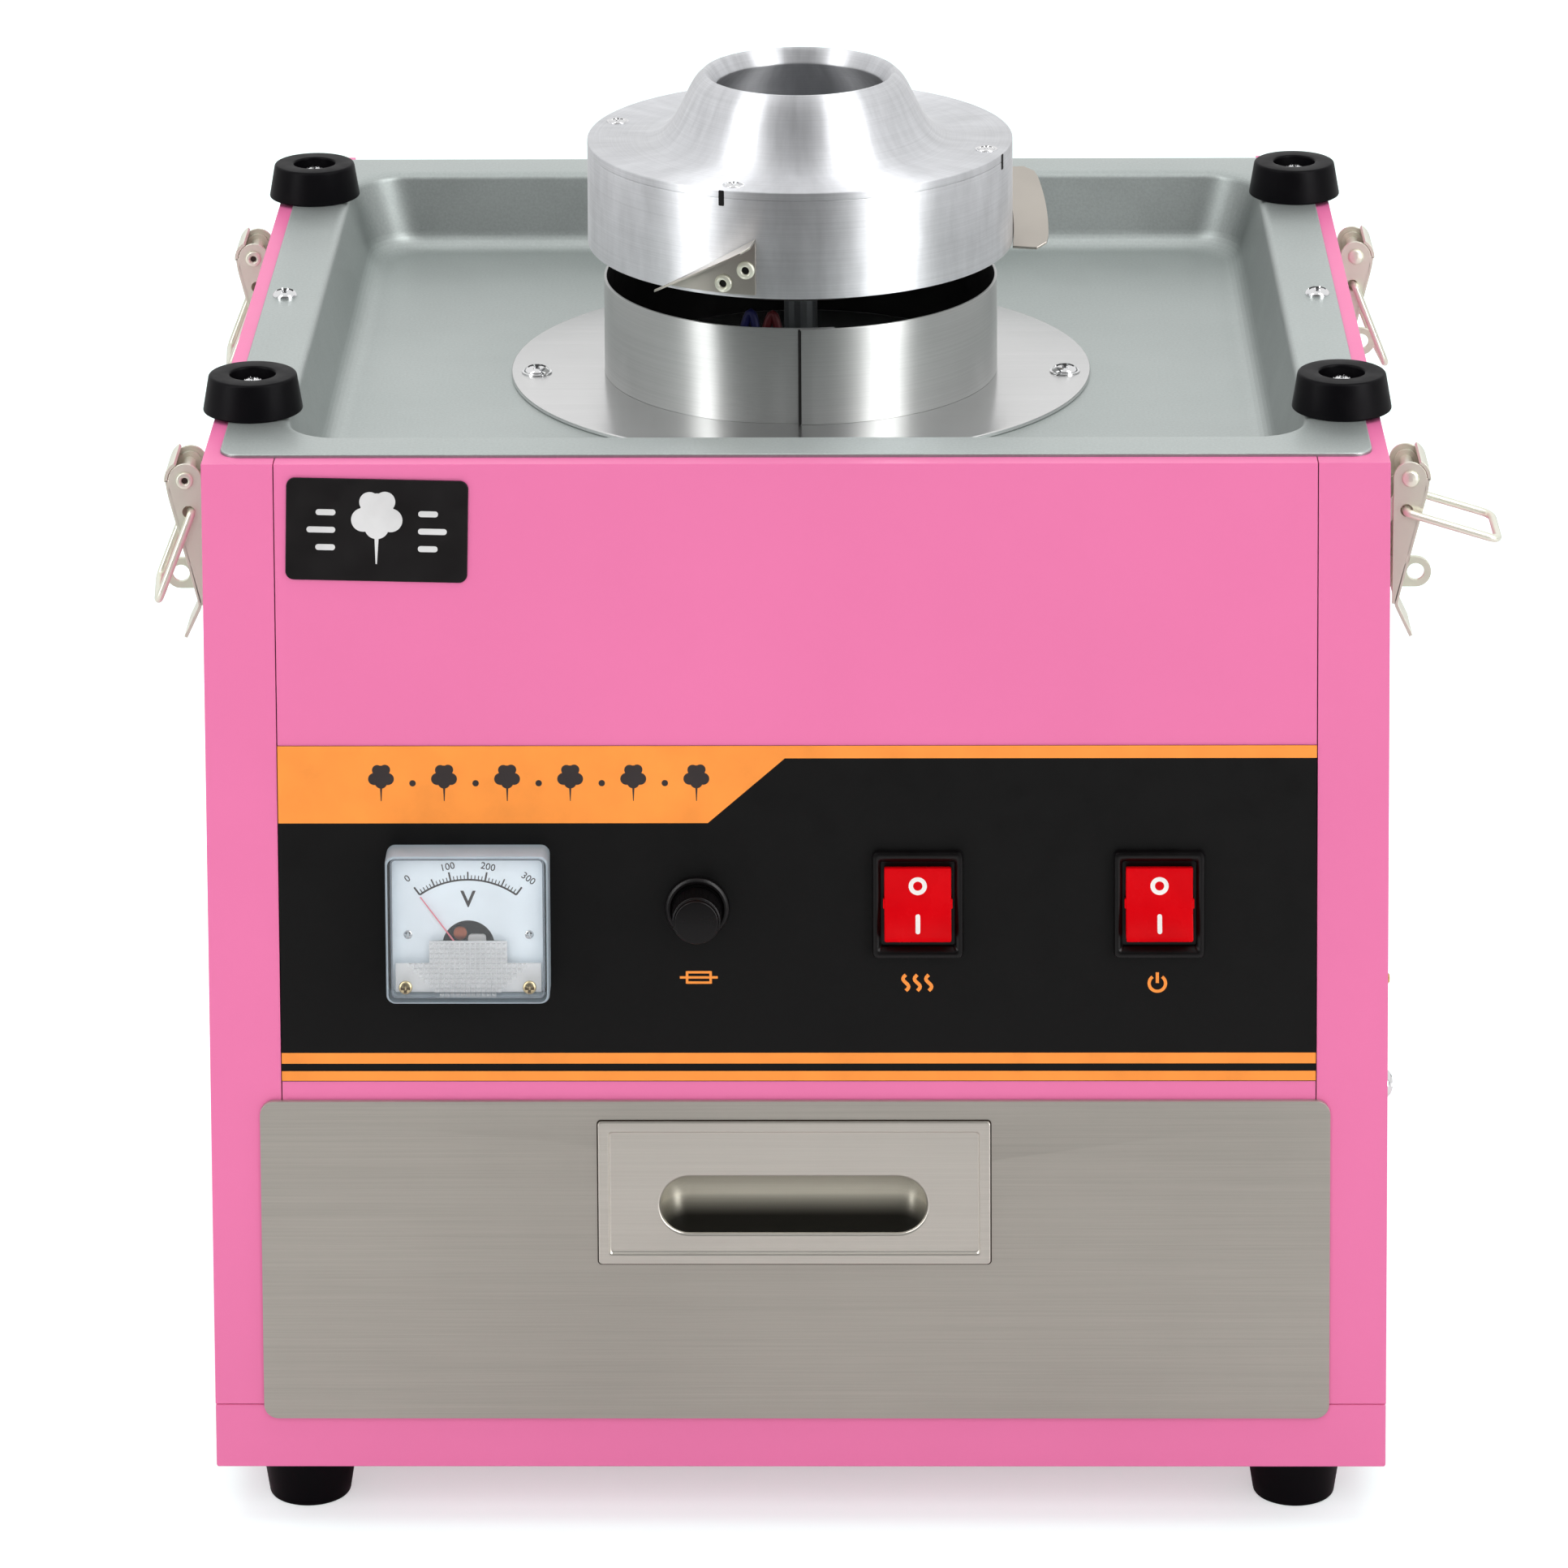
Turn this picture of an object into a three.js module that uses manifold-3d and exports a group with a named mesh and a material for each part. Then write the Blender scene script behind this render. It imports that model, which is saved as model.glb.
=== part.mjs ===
// Counter-top cotton candy machine: a sheet-steel cabinet with a drawer and control panel,
// a pressed steel tray with a shroud, and a motor-driven spinner head heated by a ribbon.
// Millimetres; +X right, -Y front, +Z up. Heights here are measured from the floor, and the last
// step lowers the group so that the part's origin is the centre of the base pan's underside.
import * as THREE from 'three';
import { mergeVertices } from 'three/addons/utils/BufferGeometryUtils.js';
import Module from 'manifold-3d';

const wasm = await Module();
wasm.setup();

// ---- Driving dimensions -------------------------------------------------------------------
const WIDTH = 330;
const DEPTH = 320;
const BODY_HEIGHT = 292;
const FOOT_HEIGHT = 18;
const SHEET = 1.2;
const GAP = 0.3;                  // clearance between neighbouring pieces
const POST = 20;                  // width of the side panels' returns round the corners
const PAN_LIP = 18.8;             // height of the base pan's turned-up edge
const TOP_RETURN = 12;            // width of the panels' inward return at the top
const REAR_DROP = 1.5;            // how far the rear panel stops below the others

const HALF_W = WIDTH / 2;
const HALF_D = DEPTH / 2;
const BODY_BOTTOM = FOOT_HEIGHT;
const BODY_TOP = FOOT_HEIGHT + BODY_HEIGHT;
const PANEL_BOTTOM = BODY_BOTTOM + PAN_LIP;
const INNER_W = HALF_W - POST;    // half-width of the opening between the corner posts
const FRONT = -HALF_D;            // plane of the cabinet's front face
const CORNERS = [['front_left', -1, -1], ['front_right', 1, -1], ['rear_left', -1, 1], ['rear_right', 1, 1]];

// Control panel
const FRONT_PANEL_BOTTOM = 124;
const LABEL = { bottom: BODY_BOTTOM + 113.7, top: BODY_BOTTOM + 211.1, thick: 0.3, off: 0.05 };
const LABEL_FACE = FRONT - LABEL.off - LABEL.thick;
const METER = { x: -91.9, z: 179.1, w: 45.6, h: 43, out: 9, wall: 1.4, barrelR: 17, barrelLong: 26 };
const FUSE = {
  x: -28, z: 182.4, flangeR: 9, flangeThick: 2.2, capR: 6.85, out: 12, barrelR: 5.6, boreR: 4.1, length: 20,
};
const SWITCH = {
  z: 183.5, w: 25.3, h: 30.8, bezel: 2, bodyW: 22, bodyH: 28.4, bodyLong: 24,
  wellW: 20.6, wellH: 24, wellDeep: 13,
};
const ROCKER = { w: 18.9, h: 21.4, tilt: 9, pivotDepth: 2, edge: 6.4, valley: 4.8 };
const HEAT_SWITCH_X = 33.6;
const POWER_SWITCH_X = 101;
const BADGE = { x: -116.3, z: 291.3, w: 50.6, h: 29.2, thick: 0.8, corner: 4, tilt: 1.3 };

// Voltmeter dial and needle, about the meter's centre: its face, and the needle's pivot and sweep
const DIAL = { w: 41, h: 38, y: -2.4, thick: 0.4, pivotZ: -10.5, sweep: 72 };

// Rear panel: mains inlet and a row of cooling slots
const INLET = {
  x: 95, z: 80, w: 27.4, h: 20.4, wall: 2, flangeW: 48, flangeH: 22.6, flange: 3, deep: 22, bladePitch: 7,
};
const VENT = { count: 9, pitch: 14, w: 5, h: 44, z: 215 };

// Drawer
const DRAWER = { w: 300, bottom: BODY_BOTTOM + 15.2, h: 93.1, x: -1.1, thick: 1.5, corner: 4 };
const DRAWER_BOX = { halfW: 139, bottom: 43, top: 118, back: 122, front: -157 };
const PULL = { w: 110, h: 41.7, x: -1.3, z: BODY_BOTTOM + 81.8, thick: 0.8, corner: 2 };
const RAIL_BACK = 140;            // rear end of the drawer's rails
const SLOT = { w: 75, h: 16.6, x: -1.5, z: BODY_BOTTOM + 78, deep: 13 };

// Tray and shroud
const TRAY = { halfW: 160.6, halfD: 154.3, thick: 1, openW: 144, openD: 137.3, floorIn: 7, corner: 12 };
const TRAY_FLOOR = 288;           // top face of the tray's floor
const DISC = { r: 86.8, thick: 1.4, hole: 30 };
const SHROUD = { r: 59, wall: 1.2, top: 318 };
const BUMPER = { x: 154.6, y: 112, rBottom: 14.25, rTop: 12.5, h: 10.4, recessR: 6.5, recess: 7, hole: 2.2 };
const FOOT = { x: 140.5, y: 135.5, rTop: 14.4, rBottom: 11.45, recessR: 5.5, recess: 7, hole: 2.4 };
const FOOT_SEAT = { r: 15.4, deep: 0.6 };  // dished seat pressed up into the base pan over each foot

// Spinner
const HEAD = {
  r: 63.6, wall: 2.5, bottom: 328.3, rim: 360.1, flatR: 45, lipR: 31, throatR: 24.9, top: 380.2,
};
const CAP_THICK = 2.4;
const SHAFT_R = 5;
const VANE = { count: 3, first: 5.5, out: 10.7, thick: 0.8, run: 28, rise: 16.5, low: 329, legThick: 0.8 };
const MOTOR = { r: 41, bottom: 158, top: 236, bossR: 14 };
const BRACKET = { half: 62, thick: 2, z: 238.4, standR: 5, standAt: 48, hole: 11 };
const RINGS = { r: 14, hubR: 11, bottom: 252, top: 276, ringH: 6, ringGap: 4 };
const BRUSH = { w: 6, h: 5, from: RINGS.r + 0.3, block0: 20, block1: 34, half: 9 };

// Toggle latches, in each latch's own frame: origin at the lever's pivot, +X away from the wall
const LATCH = { y: 112, z: 293, out: 8.5 };
const LEVER = { half: 9.2, wall: 1, earR: 4.7, hoodR: 5.9, tipX: 0.4, tipZ: -46, footX: -4.0, footZ: -36.6 };
const PIN = { r: 1.5, headR: 2.45, head: 1, play: 0.1 };
const LUG = { half: 7.9, wall: 1, r: 3.4 };
const PLATE = { wall: 1.2, top: 5, bottom: -42 };
const EYE = { x: 2.3, z: -30, r: 4.4, hole: 2.45, thick: 1.4 };
const BAIL = { x: -1, z: -9.3, wire: 0.9, hole: 1.5, length: 27, half: 11.4, hang: -69, raised: -17 };

// ---- Materials ----------------------------------------------------------------------------
const paint = (color, roughness, metalness) =>
  new THREE.MeshStandardMaterial({ color, roughness, metalness });
const PINK = paint(0xf07eaf, 0.4, 0);
const STEEL = paint(0xc8ceca, 0.35, 0.9);
const BRUSHED = paint(0xa09c96, 0.4, 0.9);
const NICKEL = paint(0xcfc8bc, 0.25, 1);
const ALUMINIUM = paint(0xd8dadb, 0.3, 1);
const RUBBER = paint(0x141216, 0.7, 0);
const BLACK_PLASTIC = paint(0x1c191b, 0.35, 0);
const LABEL_FILM = paint(0x1e1e20, 0.4, 0);
const RED_PLASTIC = paint(0xcf0218, 0.25, 0);
const CLEAR = paint(0xdde3e8, 0.05, 0);
const DIAL_WHITE = paint(0xeef0f0, 0.5, 0);
const GALVANISED = paint(0x9ba1a3, 0.5, 0.8);
const CERAMIC = paint(0x4a4038, 0.8, 0);
const BRASS = paint(0xc9a04c, 0.3, 1);
const HEATER = paint(0x7d7468, 0.5, 0.9);
const GLASS_TUBE = paint(0xcfd8da, 0.05, 0);

// ---- Solid helpers ------------------------------------------------------------------------
const GRID = 1 / 1024;            // every vertex lies on this grid, so that touching faces are coplanar

// A closed geometry as a manifold solid.
function solid(geometry) {
  const bare = geometry.clone();
  bare.deleteAttribute('normal');
  bare.deleteAttribute('uv');
  const merged = mergeVertices(bare, 1e-4);
  const vertProperties = merged.attributes.position.array.map((v) => Math.round(v / GRID) * GRID);
  const triVerts = new Uint32Array(merged.index.array);
  return new wasm.Manifold(new wasm.Mesh({ numProp: 3, vertProperties, triVerts }));
}

// A manifold solid as a three.js geometry.
function geometryOf(body) {
  const found = body.asOriginal().getMesh();
  const geometry = new THREE.BufferGeometry();
  const positions = new Float32Array(found.numVert * 3);
  for (let i = 0; i < found.numVert; i += 1) {
    for (let k = 0; k < 3; k += 1) {
      positions[3 * i + k] = found.vertProperties[found.numProp * i + k];
    }
  }
  geometry.setAttribute('position', new THREE.BufferAttribute(positions, 3));
  geometry.setIndex(new THREE.BufferAttribute(new Uint32Array(found.triVerts), 1));
  geometry.computeVertexNormals();
  return geometry;
}

const join = (...bodies) => bodies.reduce((all, body) => all.add(body));
const cut = (body, ...tools) => tools.reduce((rest, tool) => rest.subtract(tool), body);

// A solid made for the right-hand side, or its mirror image for the left.
const handed = (body, side) => (side > 0 ? body : body.mirror([1, 0, 0]));

// A box between two corners.
function block(x0, x1, y0, y1, z0, z1) {
  const geometry = new THREE.BoxGeometry(x1 - x0, y1 - y0, z1 - z0);
  geometry.translate((x0 + x1) / 2, (y0 + y1) / 2, (z0 + z1) / 2);
  return solid(geometry);
}

// A cylinder along Z from z0 to z1.
function post(r, x, y, z0, z1, sides = 16) {
  const geometry = new THREE.CylinderGeometry(r, r, z1 - z0, sides);
  geometry.rotateX(Math.PI / 2);
  geometry.translate(x, y, (z0 + z1) / 2);
  return solid(geometry);
}

// A cylinder along Y from y0 to y1.
function bar(r, x, z, y0, y1, sides = 16) {
  const geometry = new THREE.CylinderGeometry(r, r, y1 - y0, sides);
  geometry.translate(x, (y0 + y1) / 2, z);
  return solid(geometry);
}

// A profile of [radius, height] points turned about the Z axis.
function turned(profile, sides = 40) {
  const points = profile.map(([r, z]) => new THREE.Vector2(r, z));
  const geometry = new THREE.LatheGeometry(points, sides);
  geometry.rotateX(Math.PI / 2);
  return solid(geometry);
}

// A ring about the Z axis.
const ring = (inner, outer, z0, z1, sides = 40) =>
  turned([[inner, z0], [outer, z0], [outer, z1], [inner, z1], [inner, z0]], sides);

// A rectangle with round corners, centred on the origin.
function roundRect(w, h, r) {
  const shape = new THREE.Shape();
  const x = w / 2;
  const y = h / 2;
  shape.moveTo(x - r, -y);
  shape.absarc(x - r, -y + r, r, -Math.PI / 2, 0);
  shape.absarc(x - r, y - r, r, 0, Math.PI / 2);
  shape.absarc(-x + r, y - r, r, Math.PI / 2, Math.PI);
  shape.absarc(-x + r, -y + r, r, Math.PI, 1.5 * Math.PI);
  shape.closePath();
  return shape;
}

// A flat shape standing in the XZ plane, extruded along Y from y0 to y1.
function standing(shape, x, z, y0, y1, curveSegments = 3) {
  const geometry = new THREE.ExtrudeGeometry(shape, { depth: y1 - y0, bevelEnabled: false, curveSegments });
  geometry.rotateX(Math.PI / 2);
  geometry.translate(x, y1, z);
  return solid(geometry);
}

// A polygon of [x, z] points, extruded along Y from y0 to y1.
function slab(points, y0, y1) {
  const shape = new THREE.Shape(points.map(([x, z]) => new THREE.Vector2(x, z)));
  return standing(shape, 0, 0, y0, y1);
}

// A round wire through points, with round joints.
function wire(points, r, sides = 6) {
  const up = new THREE.Vector3(0, 1, 0);
  let body = null;
  for (let i = 0; i + 1 < points.length; i += 1) {
    const from = new THREE.Vector3(...points[i]);
    const to = new THREE.Vector3(...points[i + 1]);
    const along = to.clone().sub(from);
    const geometry = new THREE.CylinderGeometry(r, r, along.length(), sides);
    geometry.applyQuaternion(new THREE.Quaternion().setFromUnitVectors(up, along.clone().normalize()));
    geometry.translate(...from.clone().add(to).multiplyScalar(0.5).toArray());
    const piece = solid(geometry);
    body = body === null ? piece : body.add(piece);
    if (i > 0) {
      const ball = new THREE.SphereGeometry(r, sides, 4);
      ball.translate(...points[i]);
      body = body.add(solid(ball));
    }
  }
  return body;
}

// ---- The scene graph ----------------------------------------------------------------------
const machine = new THREE.Group();

function place(parent, name, body, material) {
  const mesh = new THREE.Mesh(geometryOf(body), material);
  mesh.name = name;
  parent.add(mesh);
  return mesh;
}

// ---- Cabinet ------------------------------------------------------------------------------
// The pan under everything, with a dished seat for each foot.
function basePan() {
  const { r, deep } = FOOT_SEAT;
  const inside = block(-HALF_W + SHEET, HALF_W - SHEET, FRONT + SHEET, HALF_D - SHEET,
    BODY_BOTTOM + SHEET, PANEL_BOTTOM + 1);
  const outside = block(-HALF_W, HALF_W, FRONT, HALF_D, BODY_BOTTOM, PANEL_BOTTOM - GAP);
  let pan = cut(outside, inside);
  for (const [, sx, sy] of CORNERS) {
    const [x, y] = [sx * FOOT.x, sy * FOOT.y];
    const crown = post(r + SHEET, x, y, BODY_BOTTOM + SHEET / 2, BODY_BOTTOM + deep + SHEET, 28);
    pan = cut(join(pan, crown), post(r, x, y, BODY_BOTTOM - 1, BODY_BOTTOM + deep, 28));
  }
  return pan;
}

// A side wall with returns round both corner posts and along the top; side is 1 or -1.
function sidePanel(side) {
  const near = INNER_W + GAP / 2;
  const wall = block(HALF_W - SHEET, HALF_W, FRONT, HALF_D, PANEL_BOTTOM, BODY_TOP);
  const front = block(near, HALF_W, FRONT, FRONT + SHEET, PANEL_BOTTOM, BODY_TOP);
  const rear = block(near, HALF_W, HALF_D - SHEET, HALF_D, PANEL_BOTTOM, BODY_TOP);
  const top = block(near, HALF_W, FRONT, HALF_D, BODY_TOP - SHEET, BODY_TOP);
  return handed(join(wall, front, rear, top), side);
}

// The panel between the front posts: return along the top, flange above the drawer, four cut-outs.
function frontPanel() {
  const half = INNER_W - GAP / 2;
  const face = block(-half, half, FRONT, FRONT + SHEET, FRONT_PANEL_BOTTOM, BODY_TOP);
  const top = block(-half, half, FRONT, FRONT + TOP_RETURN, BODY_TOP - SHEET, BODY_TOP);
  const bottom = block(-half, half, FRONT, FRONT + TOP_RETURN,
    FRONT_PANEL_BOTTOM, FRONT_PANEL_BOTTOM + SHEET);
  return cut(join(face, top, bottom), ...panelHoles(FRONT - 2, FRONT + SHEET + 0.5));
}

// The cut-outs shared by the front panel and the label on it.
function panelHoles(y0, y1) {
  const holes = [
    bar(METER.barrelR + GAP, METER.x, METER.z, y0, y1, 24),
    bar(FUSE.barrelR + GAP, FUSE.x, FUSE.z, y0, y1, 16),
  ];
  for (const x of [HEAT_SWITCH_X, POWER_SWITCH_X]) {
    const halfW = SWITCH.bodyW / 2 + GAP;
    const halfH = SWITCH.bodyH / 2 + GAP;
    holes.push(block(x - halfW, x + halfW, y0, y1, SWITCH.z - halfH, SWITCH.z + halfH));
  }
  return holes;
}

function controlLabel() {
  const half = INNER_W - GAP / 2;
  const film = block(-half, half, LABEL_FACE, FRONT - LABEL.off, LABEL.bottom, LABEL.top);
  return cut(film, ...panelHoles(LABEL_FACE - 1, FRONT));
}

// The panel between the rear posts, with a row of cooling slots and the mains inlet's cut-out.
function rearPanel() {
  const half = INNER_W - GAP / 2;
  const high = BODY_TOP - REAR_DROP;
  const face = block(-half, half, HALF_D - SHEET, HALF_D, PANEL_BOTTOM, high);
  const top = block(-half, half, HALF_D - TOP_RETURN, HALF_D, high - SHEET, high);
  const y0 = HALF_D - SHEET - 1;
  const y1 = HALF_D + 1;
  const slots = [];
  for (let i = 0; i < VENT.count; i += 1) {
    const x = (i - (VENT.count - 1) / 2) * VENT.pitch;
    slots.push(standing(roundRect(VENT.w, VENT.h, VENT.w / 2 - 0.01), x, VENT.z, y0, y1, 2));
  }
  const inlet = block(INLET.x - INLET.w / 2 - GAP, INLET.x + INLET.w / 2 + GAP, y0, y1,
    INLET.z - INLET.h / 2 - GAP, INLET.z + INLET.h / 2 + GAP);
  return cut(join(face, top), inlet, ...slots);
}

// A mains inlet with a recess for the cord's plug and three blades.
function mainsInlet() {
  const { x, z, w, h, wall } = INLET;
  const inner = HALF_D - INLET.deep;
  const outer = HALF_D + INLET.flange;
  const flange = standing(roundRect(INLET.flangeW, INLET.flangeH, 5), x, z, HALF_D + 0.05, outer);
  const body = block(x - w / 2, x + w / 2, inner, outer, z - h / 2, z + h / 2);
  const recess = block(x - w / 2 + wall, x + w / 2 - wall, inner + wall, outer + 1,
    z - h / 2 + wall, z + h / 2 - wall);
  const blades = [-1, 0, 1].map((place) => {
    const middle = x + place * INLET.bladePitch;
    const height = place === 0 ? z + 2.5 : z - 2.5;
    return block(middle - 1, middle + 1, inner + 0.5, outer - 4, height - 2, height + 2);
  });
  return join(cut(join(flange, body), recess), ...blades);
}

// The plate under the electrics, with turned-down edges; it closes the drawer bay.
function drawerShelf() {
  const top = FRONT_PANEL_BOTTOM - GAP;
  const halfW = HALF_W - SHEET - GAP;
  const back = HALF_D - SHEET - GAP;
  const plate = block(-halfW, halfW, FRONT + SHEET + GAP, back, top - SHEET, top);
  const rear = block(-halfW, halfW, back - SHEET, back, top - 8, top);
  return join(plate, rear);
}

// An angle rail that carries one edge of the drawer; side is 1 or -1.
function drawerRail(side) {
  const outer = INNER_W - 1;
  const near = FRONT + 6;
  const top = DRAWER_BOX.bottom - GAP;
  const wall = block(outer - SHEET, outer, near, RAIL_BACK, BODY_BOTTOM + FOOT_SEAT.deep + SHEET, top + 14.3);
  const ledge = block(outer - 16, outer, near, RAIL_BACK, top - SHEET, top);
  return handed(join(wall, ledge), side);
}

// A tapered rubber pad with a recess for its screw in one end: size is a foot's or a bumper's.
function rubberPad(size, height, recessAtTop) {
  const { rBottom, rTop, recessR, recess, hole } = size;
  const floor = recessAtTop ? height - recess : recess;
  const open = recessAtTop ? height : 0;
  const shut = height - open;
  const [openR, shutR] = recessAtTop ? [rTop, rBottom] : [rBottom, rTop];
  const profile = [[hole, shut], [shutR, shut], [openR, open], [recessR, open], [recessR, floor],
    [hole, floor], [hole, shut]];
  return turned(recessAtTop ? profile : profile.reverse(), 24);
}

const body = new THREE.Group();
machine.add(body);
place(body, 'base_pan', basePan(), PINK);
place(body, 'left_side_panel', sidePanel(-1), PINK);
place(body, 'right_side_panel', sidePanel(1), PINK);
place(body, 'front_panel', frontPanel(), PINK);
place(body, 'rear_panel', rearPanel(), PINK);
place(body, 'control_label', controlLabel(), LABEL_FILM);
place(body, 'drawer_shelf', drawerShelf(), GALVANISED);
place(body, 'drawer_rail_left', drawerRail(-1), GALVANISED);
place(body, 'drawer_rail_right', drawerRail(1), GALVANISED);
place(body, 'mains_inlet', mainsInlet(), BLACK_PLASTIC);

const badge = place(body, 'badge_plate',
  standing(roundRect(BADGE.w, BADGE.h, BADGE.corner), 0, 0, -BADGE.thick, 0), BLACK_PLASTIC);
badge.position.set(BADGE.x, FRONT - LABEL.off, BADGE.z);
badge.rotation.y = THREE.MathUtils.degToRad(-BADGE.tilt);

for (const [corner, sx, sy] of CORNERS) {
  const foot = place(body, `foot_${corner}`,
    rubberPad(FOOT, FOOT_HEIGHT + FOOT_SEAT.deep - 0.05, false), RUBBER);
  foot.position.set(sx * FOOT.x, sy * FOOT.y, 0);
  const bumper = place(body, `bumper_${corner}`, rubberPad(BUMPER, BUMPER.h, true), RUBBER);
  bumper.position.set(sx * BUMPER.x, sy * BUMPER.y, BODY_TOP + TRAY.thick + 0.05);
}

// ---- Tray and shroud ----------------------------------------------------------------------
// The solid below z = top of a pan whose walls lean in by `lean` on the way down to z = floor.
function panHollow(halfW, halfD, lean, floor, top, corner) {
  const deep = top - floor;
  const shape = roundRect(2 * (halfW - lean), 2 * (halfD - lean), corner);
  const geometry = new THREE.ExtrudeGeometry(shape, {
    depth: 1, bevelEnabled: true, bevelThickness: deep, bevelSize: lean, bevelSegments: 1, curveSegments: 4,
  });
  geometry.translate(0, 0, floor);
  const margin = 20;
  return solid(geometry).subtract(block(-halfW - margin, halfW + margin, -halfD - margin, halfD + margin,
    floor - deep - margin, floor));
}

// A pressed tray: flat flange, leaning walls and a floor with a round opening.
function topTray() {
  const { thick, openW, openD, floorIn, corner } = TRAY;
  const flangeTop = BODY_TOP + thick;
  const deep = flangeTop - TRAY_FLOOR;
  const flange = new THREE.ExtrudeGeometry(roundRect(2 * TRAY.halfW, 2 * TRAY.halfD, 6), {
    depth: thick, bevelEnabled: false, curveSegments: 4,
  });
  flange.translate(0, 0, BODY_TOP);
  const outer = panHollow(openW + thick, openD + thick, floorIn, TRAY_FLOOR - thick, flangeTop - thick,
    corner);
  const lower = outer.subtract(block(-HALF_W, HALF_W, -HALF_D, HALF_D, BODY_TOP + 0.5, BODY_TOP + 2 * deep));
  const hollow = panHollow(openW, openD, floorIn, TRAY_FLOOR, flangeTop, corner);
  return cut(solid(flange).add(lower), hollow, post(DISC.hole, 0, 0, TRAY_FLOOR - 5, TRAY_FLOOR + 5, 24));
}

const trayGroup = new THREE.Group();
machine.add(trayGroup);
place(trayGroup, 'top_tray', topTray(), STEEL);
place(trayGroup, 'shroud_base_disc',
  ring(DISC.hole, DISC.r, TRAY_FLOOR + 0.05, TRAY_FLOOR + DISC.thick, 48), STEEL);
place(trayGroup, 'shroud_ring',
  ring(SHROUD.r - SHROUD.wall, SHROUD.r, TRAY_FLOOR + DISC.thick + 0.05, SHROUD.top, 48), ALUMINIUM);

// ---- Motor, bracket and brush gear --------------------------------------------------------
function motorBracket() {
  const { half, thick, z, standR, standAt, hole } = BRACKET;
  let bracket = block(-half, half, -half, half, z, z + thick);
  for (const sx of [-1, 1]) {
    for (const sy of [-1, 1]) {
      bracket = bracket.add(post(standR, sx * standAt, sy * standAt, z, TRAY_FLOOR - TRAY.thick - 0.05, 12));
    }
  }
  return cut(bracket, post(hole, 0, 0, z - 1, z + thick + 1));
}

function motorCan() {
  const bore = SHAFT_R + 0.4;
  const top = MOTOR.top + 2;
  return turned([[0, MOTOR.bottom], [MOTOR.r - 4, MOTOR.bottom], [MOTOR.r, MOTOR.bottom + 4],
    [MOTOR.r, MOTOR.top - 4], [MOTOR.r - 4, MOTOR.top], [MOTOR.bossR, MOTOR.top], [MOTOR.bossR, top],
    [bore, top], [bore, MOTOR.bottom + 30], [0, MOTOR.bottom + 30], [0, MOTOR.bottom]], 28);
}

// An insulating block beside the slip rings, with a carbon brush reaching out to each ring.
function ringHeight(i) {
  return RINGS.bottom + 4 + i * (RINGS.ringH + RINGS.ringGap);
}

function brushHolder() {
  const base = BRACKET.z + BRACKET.thick + 0.05;
  const top = ringHeight(1) + RINGS.ringH + 5;
  const holder = block(BRUSH.block0, BRUSH.block1, -BRUSH.half, BRUSH.half, base, top);
  const brushes = [0, 1].map((i) => {
    const z = ringHeight(i) + RINGS.ringH / 2;
    return block(BRUSH.from, BRUSH.block1, -BRUSH.w / 2, BRUSH.w / 2, z - BRUSH.h / 2, z + BRUSH.h / 2);
  });
  return join(holder, ...brushes);
}

const drive = new THREE.Group();
machine.add(drive);
place(drive, 'motor', motorCan(), GALVANISED);
place(drive, 'motor_bracket', motorBracket(), GALVANISED);
place(drive, 'brush_holder', brushHolder(), CERAMIC);

// ---- Spinner ------------------------------------------------------------------------------
// The bell-shaped cap: a flat rim, a hollow cone with a rounded lip and an open throat.
function spinnerCap() {
  const { r, rim, flatR, lipR, throatR, top } = HEAD;
  const under = rim - CAP_THICK;
  const foot = new THREE.Vector2(flatR, rim);
  const lip = new THREE.Vector2(lipR, top - 1.6);
  const outside = new THREE.CubicBezierCurve(foot, new THREE.Vector2(flatR - 8, rim),
    new THREE.Vector2(lipR + 4.5, top - 7), lip).getPoints(5).map((p) => [p.x, p.y]);
  const rolledLip = [[lipR - 2, top], [throatR + 1.4, top], [throatR, top - 1.6]];
  const inside = [[throatR, top - 4], [throatR + 4.2, top - 8], [flatR - 9, under]];
  return turned([[r, under], [r, rim], ...outside, ...rolledLip, ...inside, [r, under]], 48);
}

// The head's open bowl: floor with a shaft hole and a cylindrical wall.
function spinnerBowl() {
  const { r, wall, bottom } = HEAD;
  const top = HEAD.rim - CAP_THICK - 0.05;
  const floor = bottom + 2.4;
  const hole = SHAFT_R + 0.3;
  return turned([[hole, bottom], [r, bottom], [r, top], [r - wall, top], [r - wall, floor], [hole, floor],
    [hole, bottom]], 48);
}

// The heating ribbon: a ring standing on three ceramic-clad legs.
function heaterRing() {
  const floor = HEAD.bottom + 2.4 + 0.05;
  let heater = ring(52, 55, floor + 5, floor + 21, 32);
  for (let i = 0; i < 3; i += 1) {
    const a = (i * 2 * Math.PI) / 3;
    heater = heater.add(post(2.6, 53.5 * Math.cos(a), 53.5 * Math.sin(a), floor, floor + 7, 8));
  }
  return heater;
}

const insulatorDisc = () => ring(SHAFT_R + 0.3, 47, HEAD.bottom - 5.3, HEAD.bottom - 0.05, 32);

// Shaft from inside the motor up to the nut on the bowl's floor.
function driveShaft() {
  const nut = HEAD.bottom + 2.4 + 0.05;
  const top = nut + 9;
  return turned([[0, MOTOR.bottom + 31], [SHAFT_R, MOTOR.bottom + 31], [SHAFT_R, nut], [10, nut],
    [10, nut + 7], [SHAFT_R - 0.5, nut + 7], [SHAFT_R - 0.5, top], [0, top], [0, MOTOR.bottom + 31]], 16);
}

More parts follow.
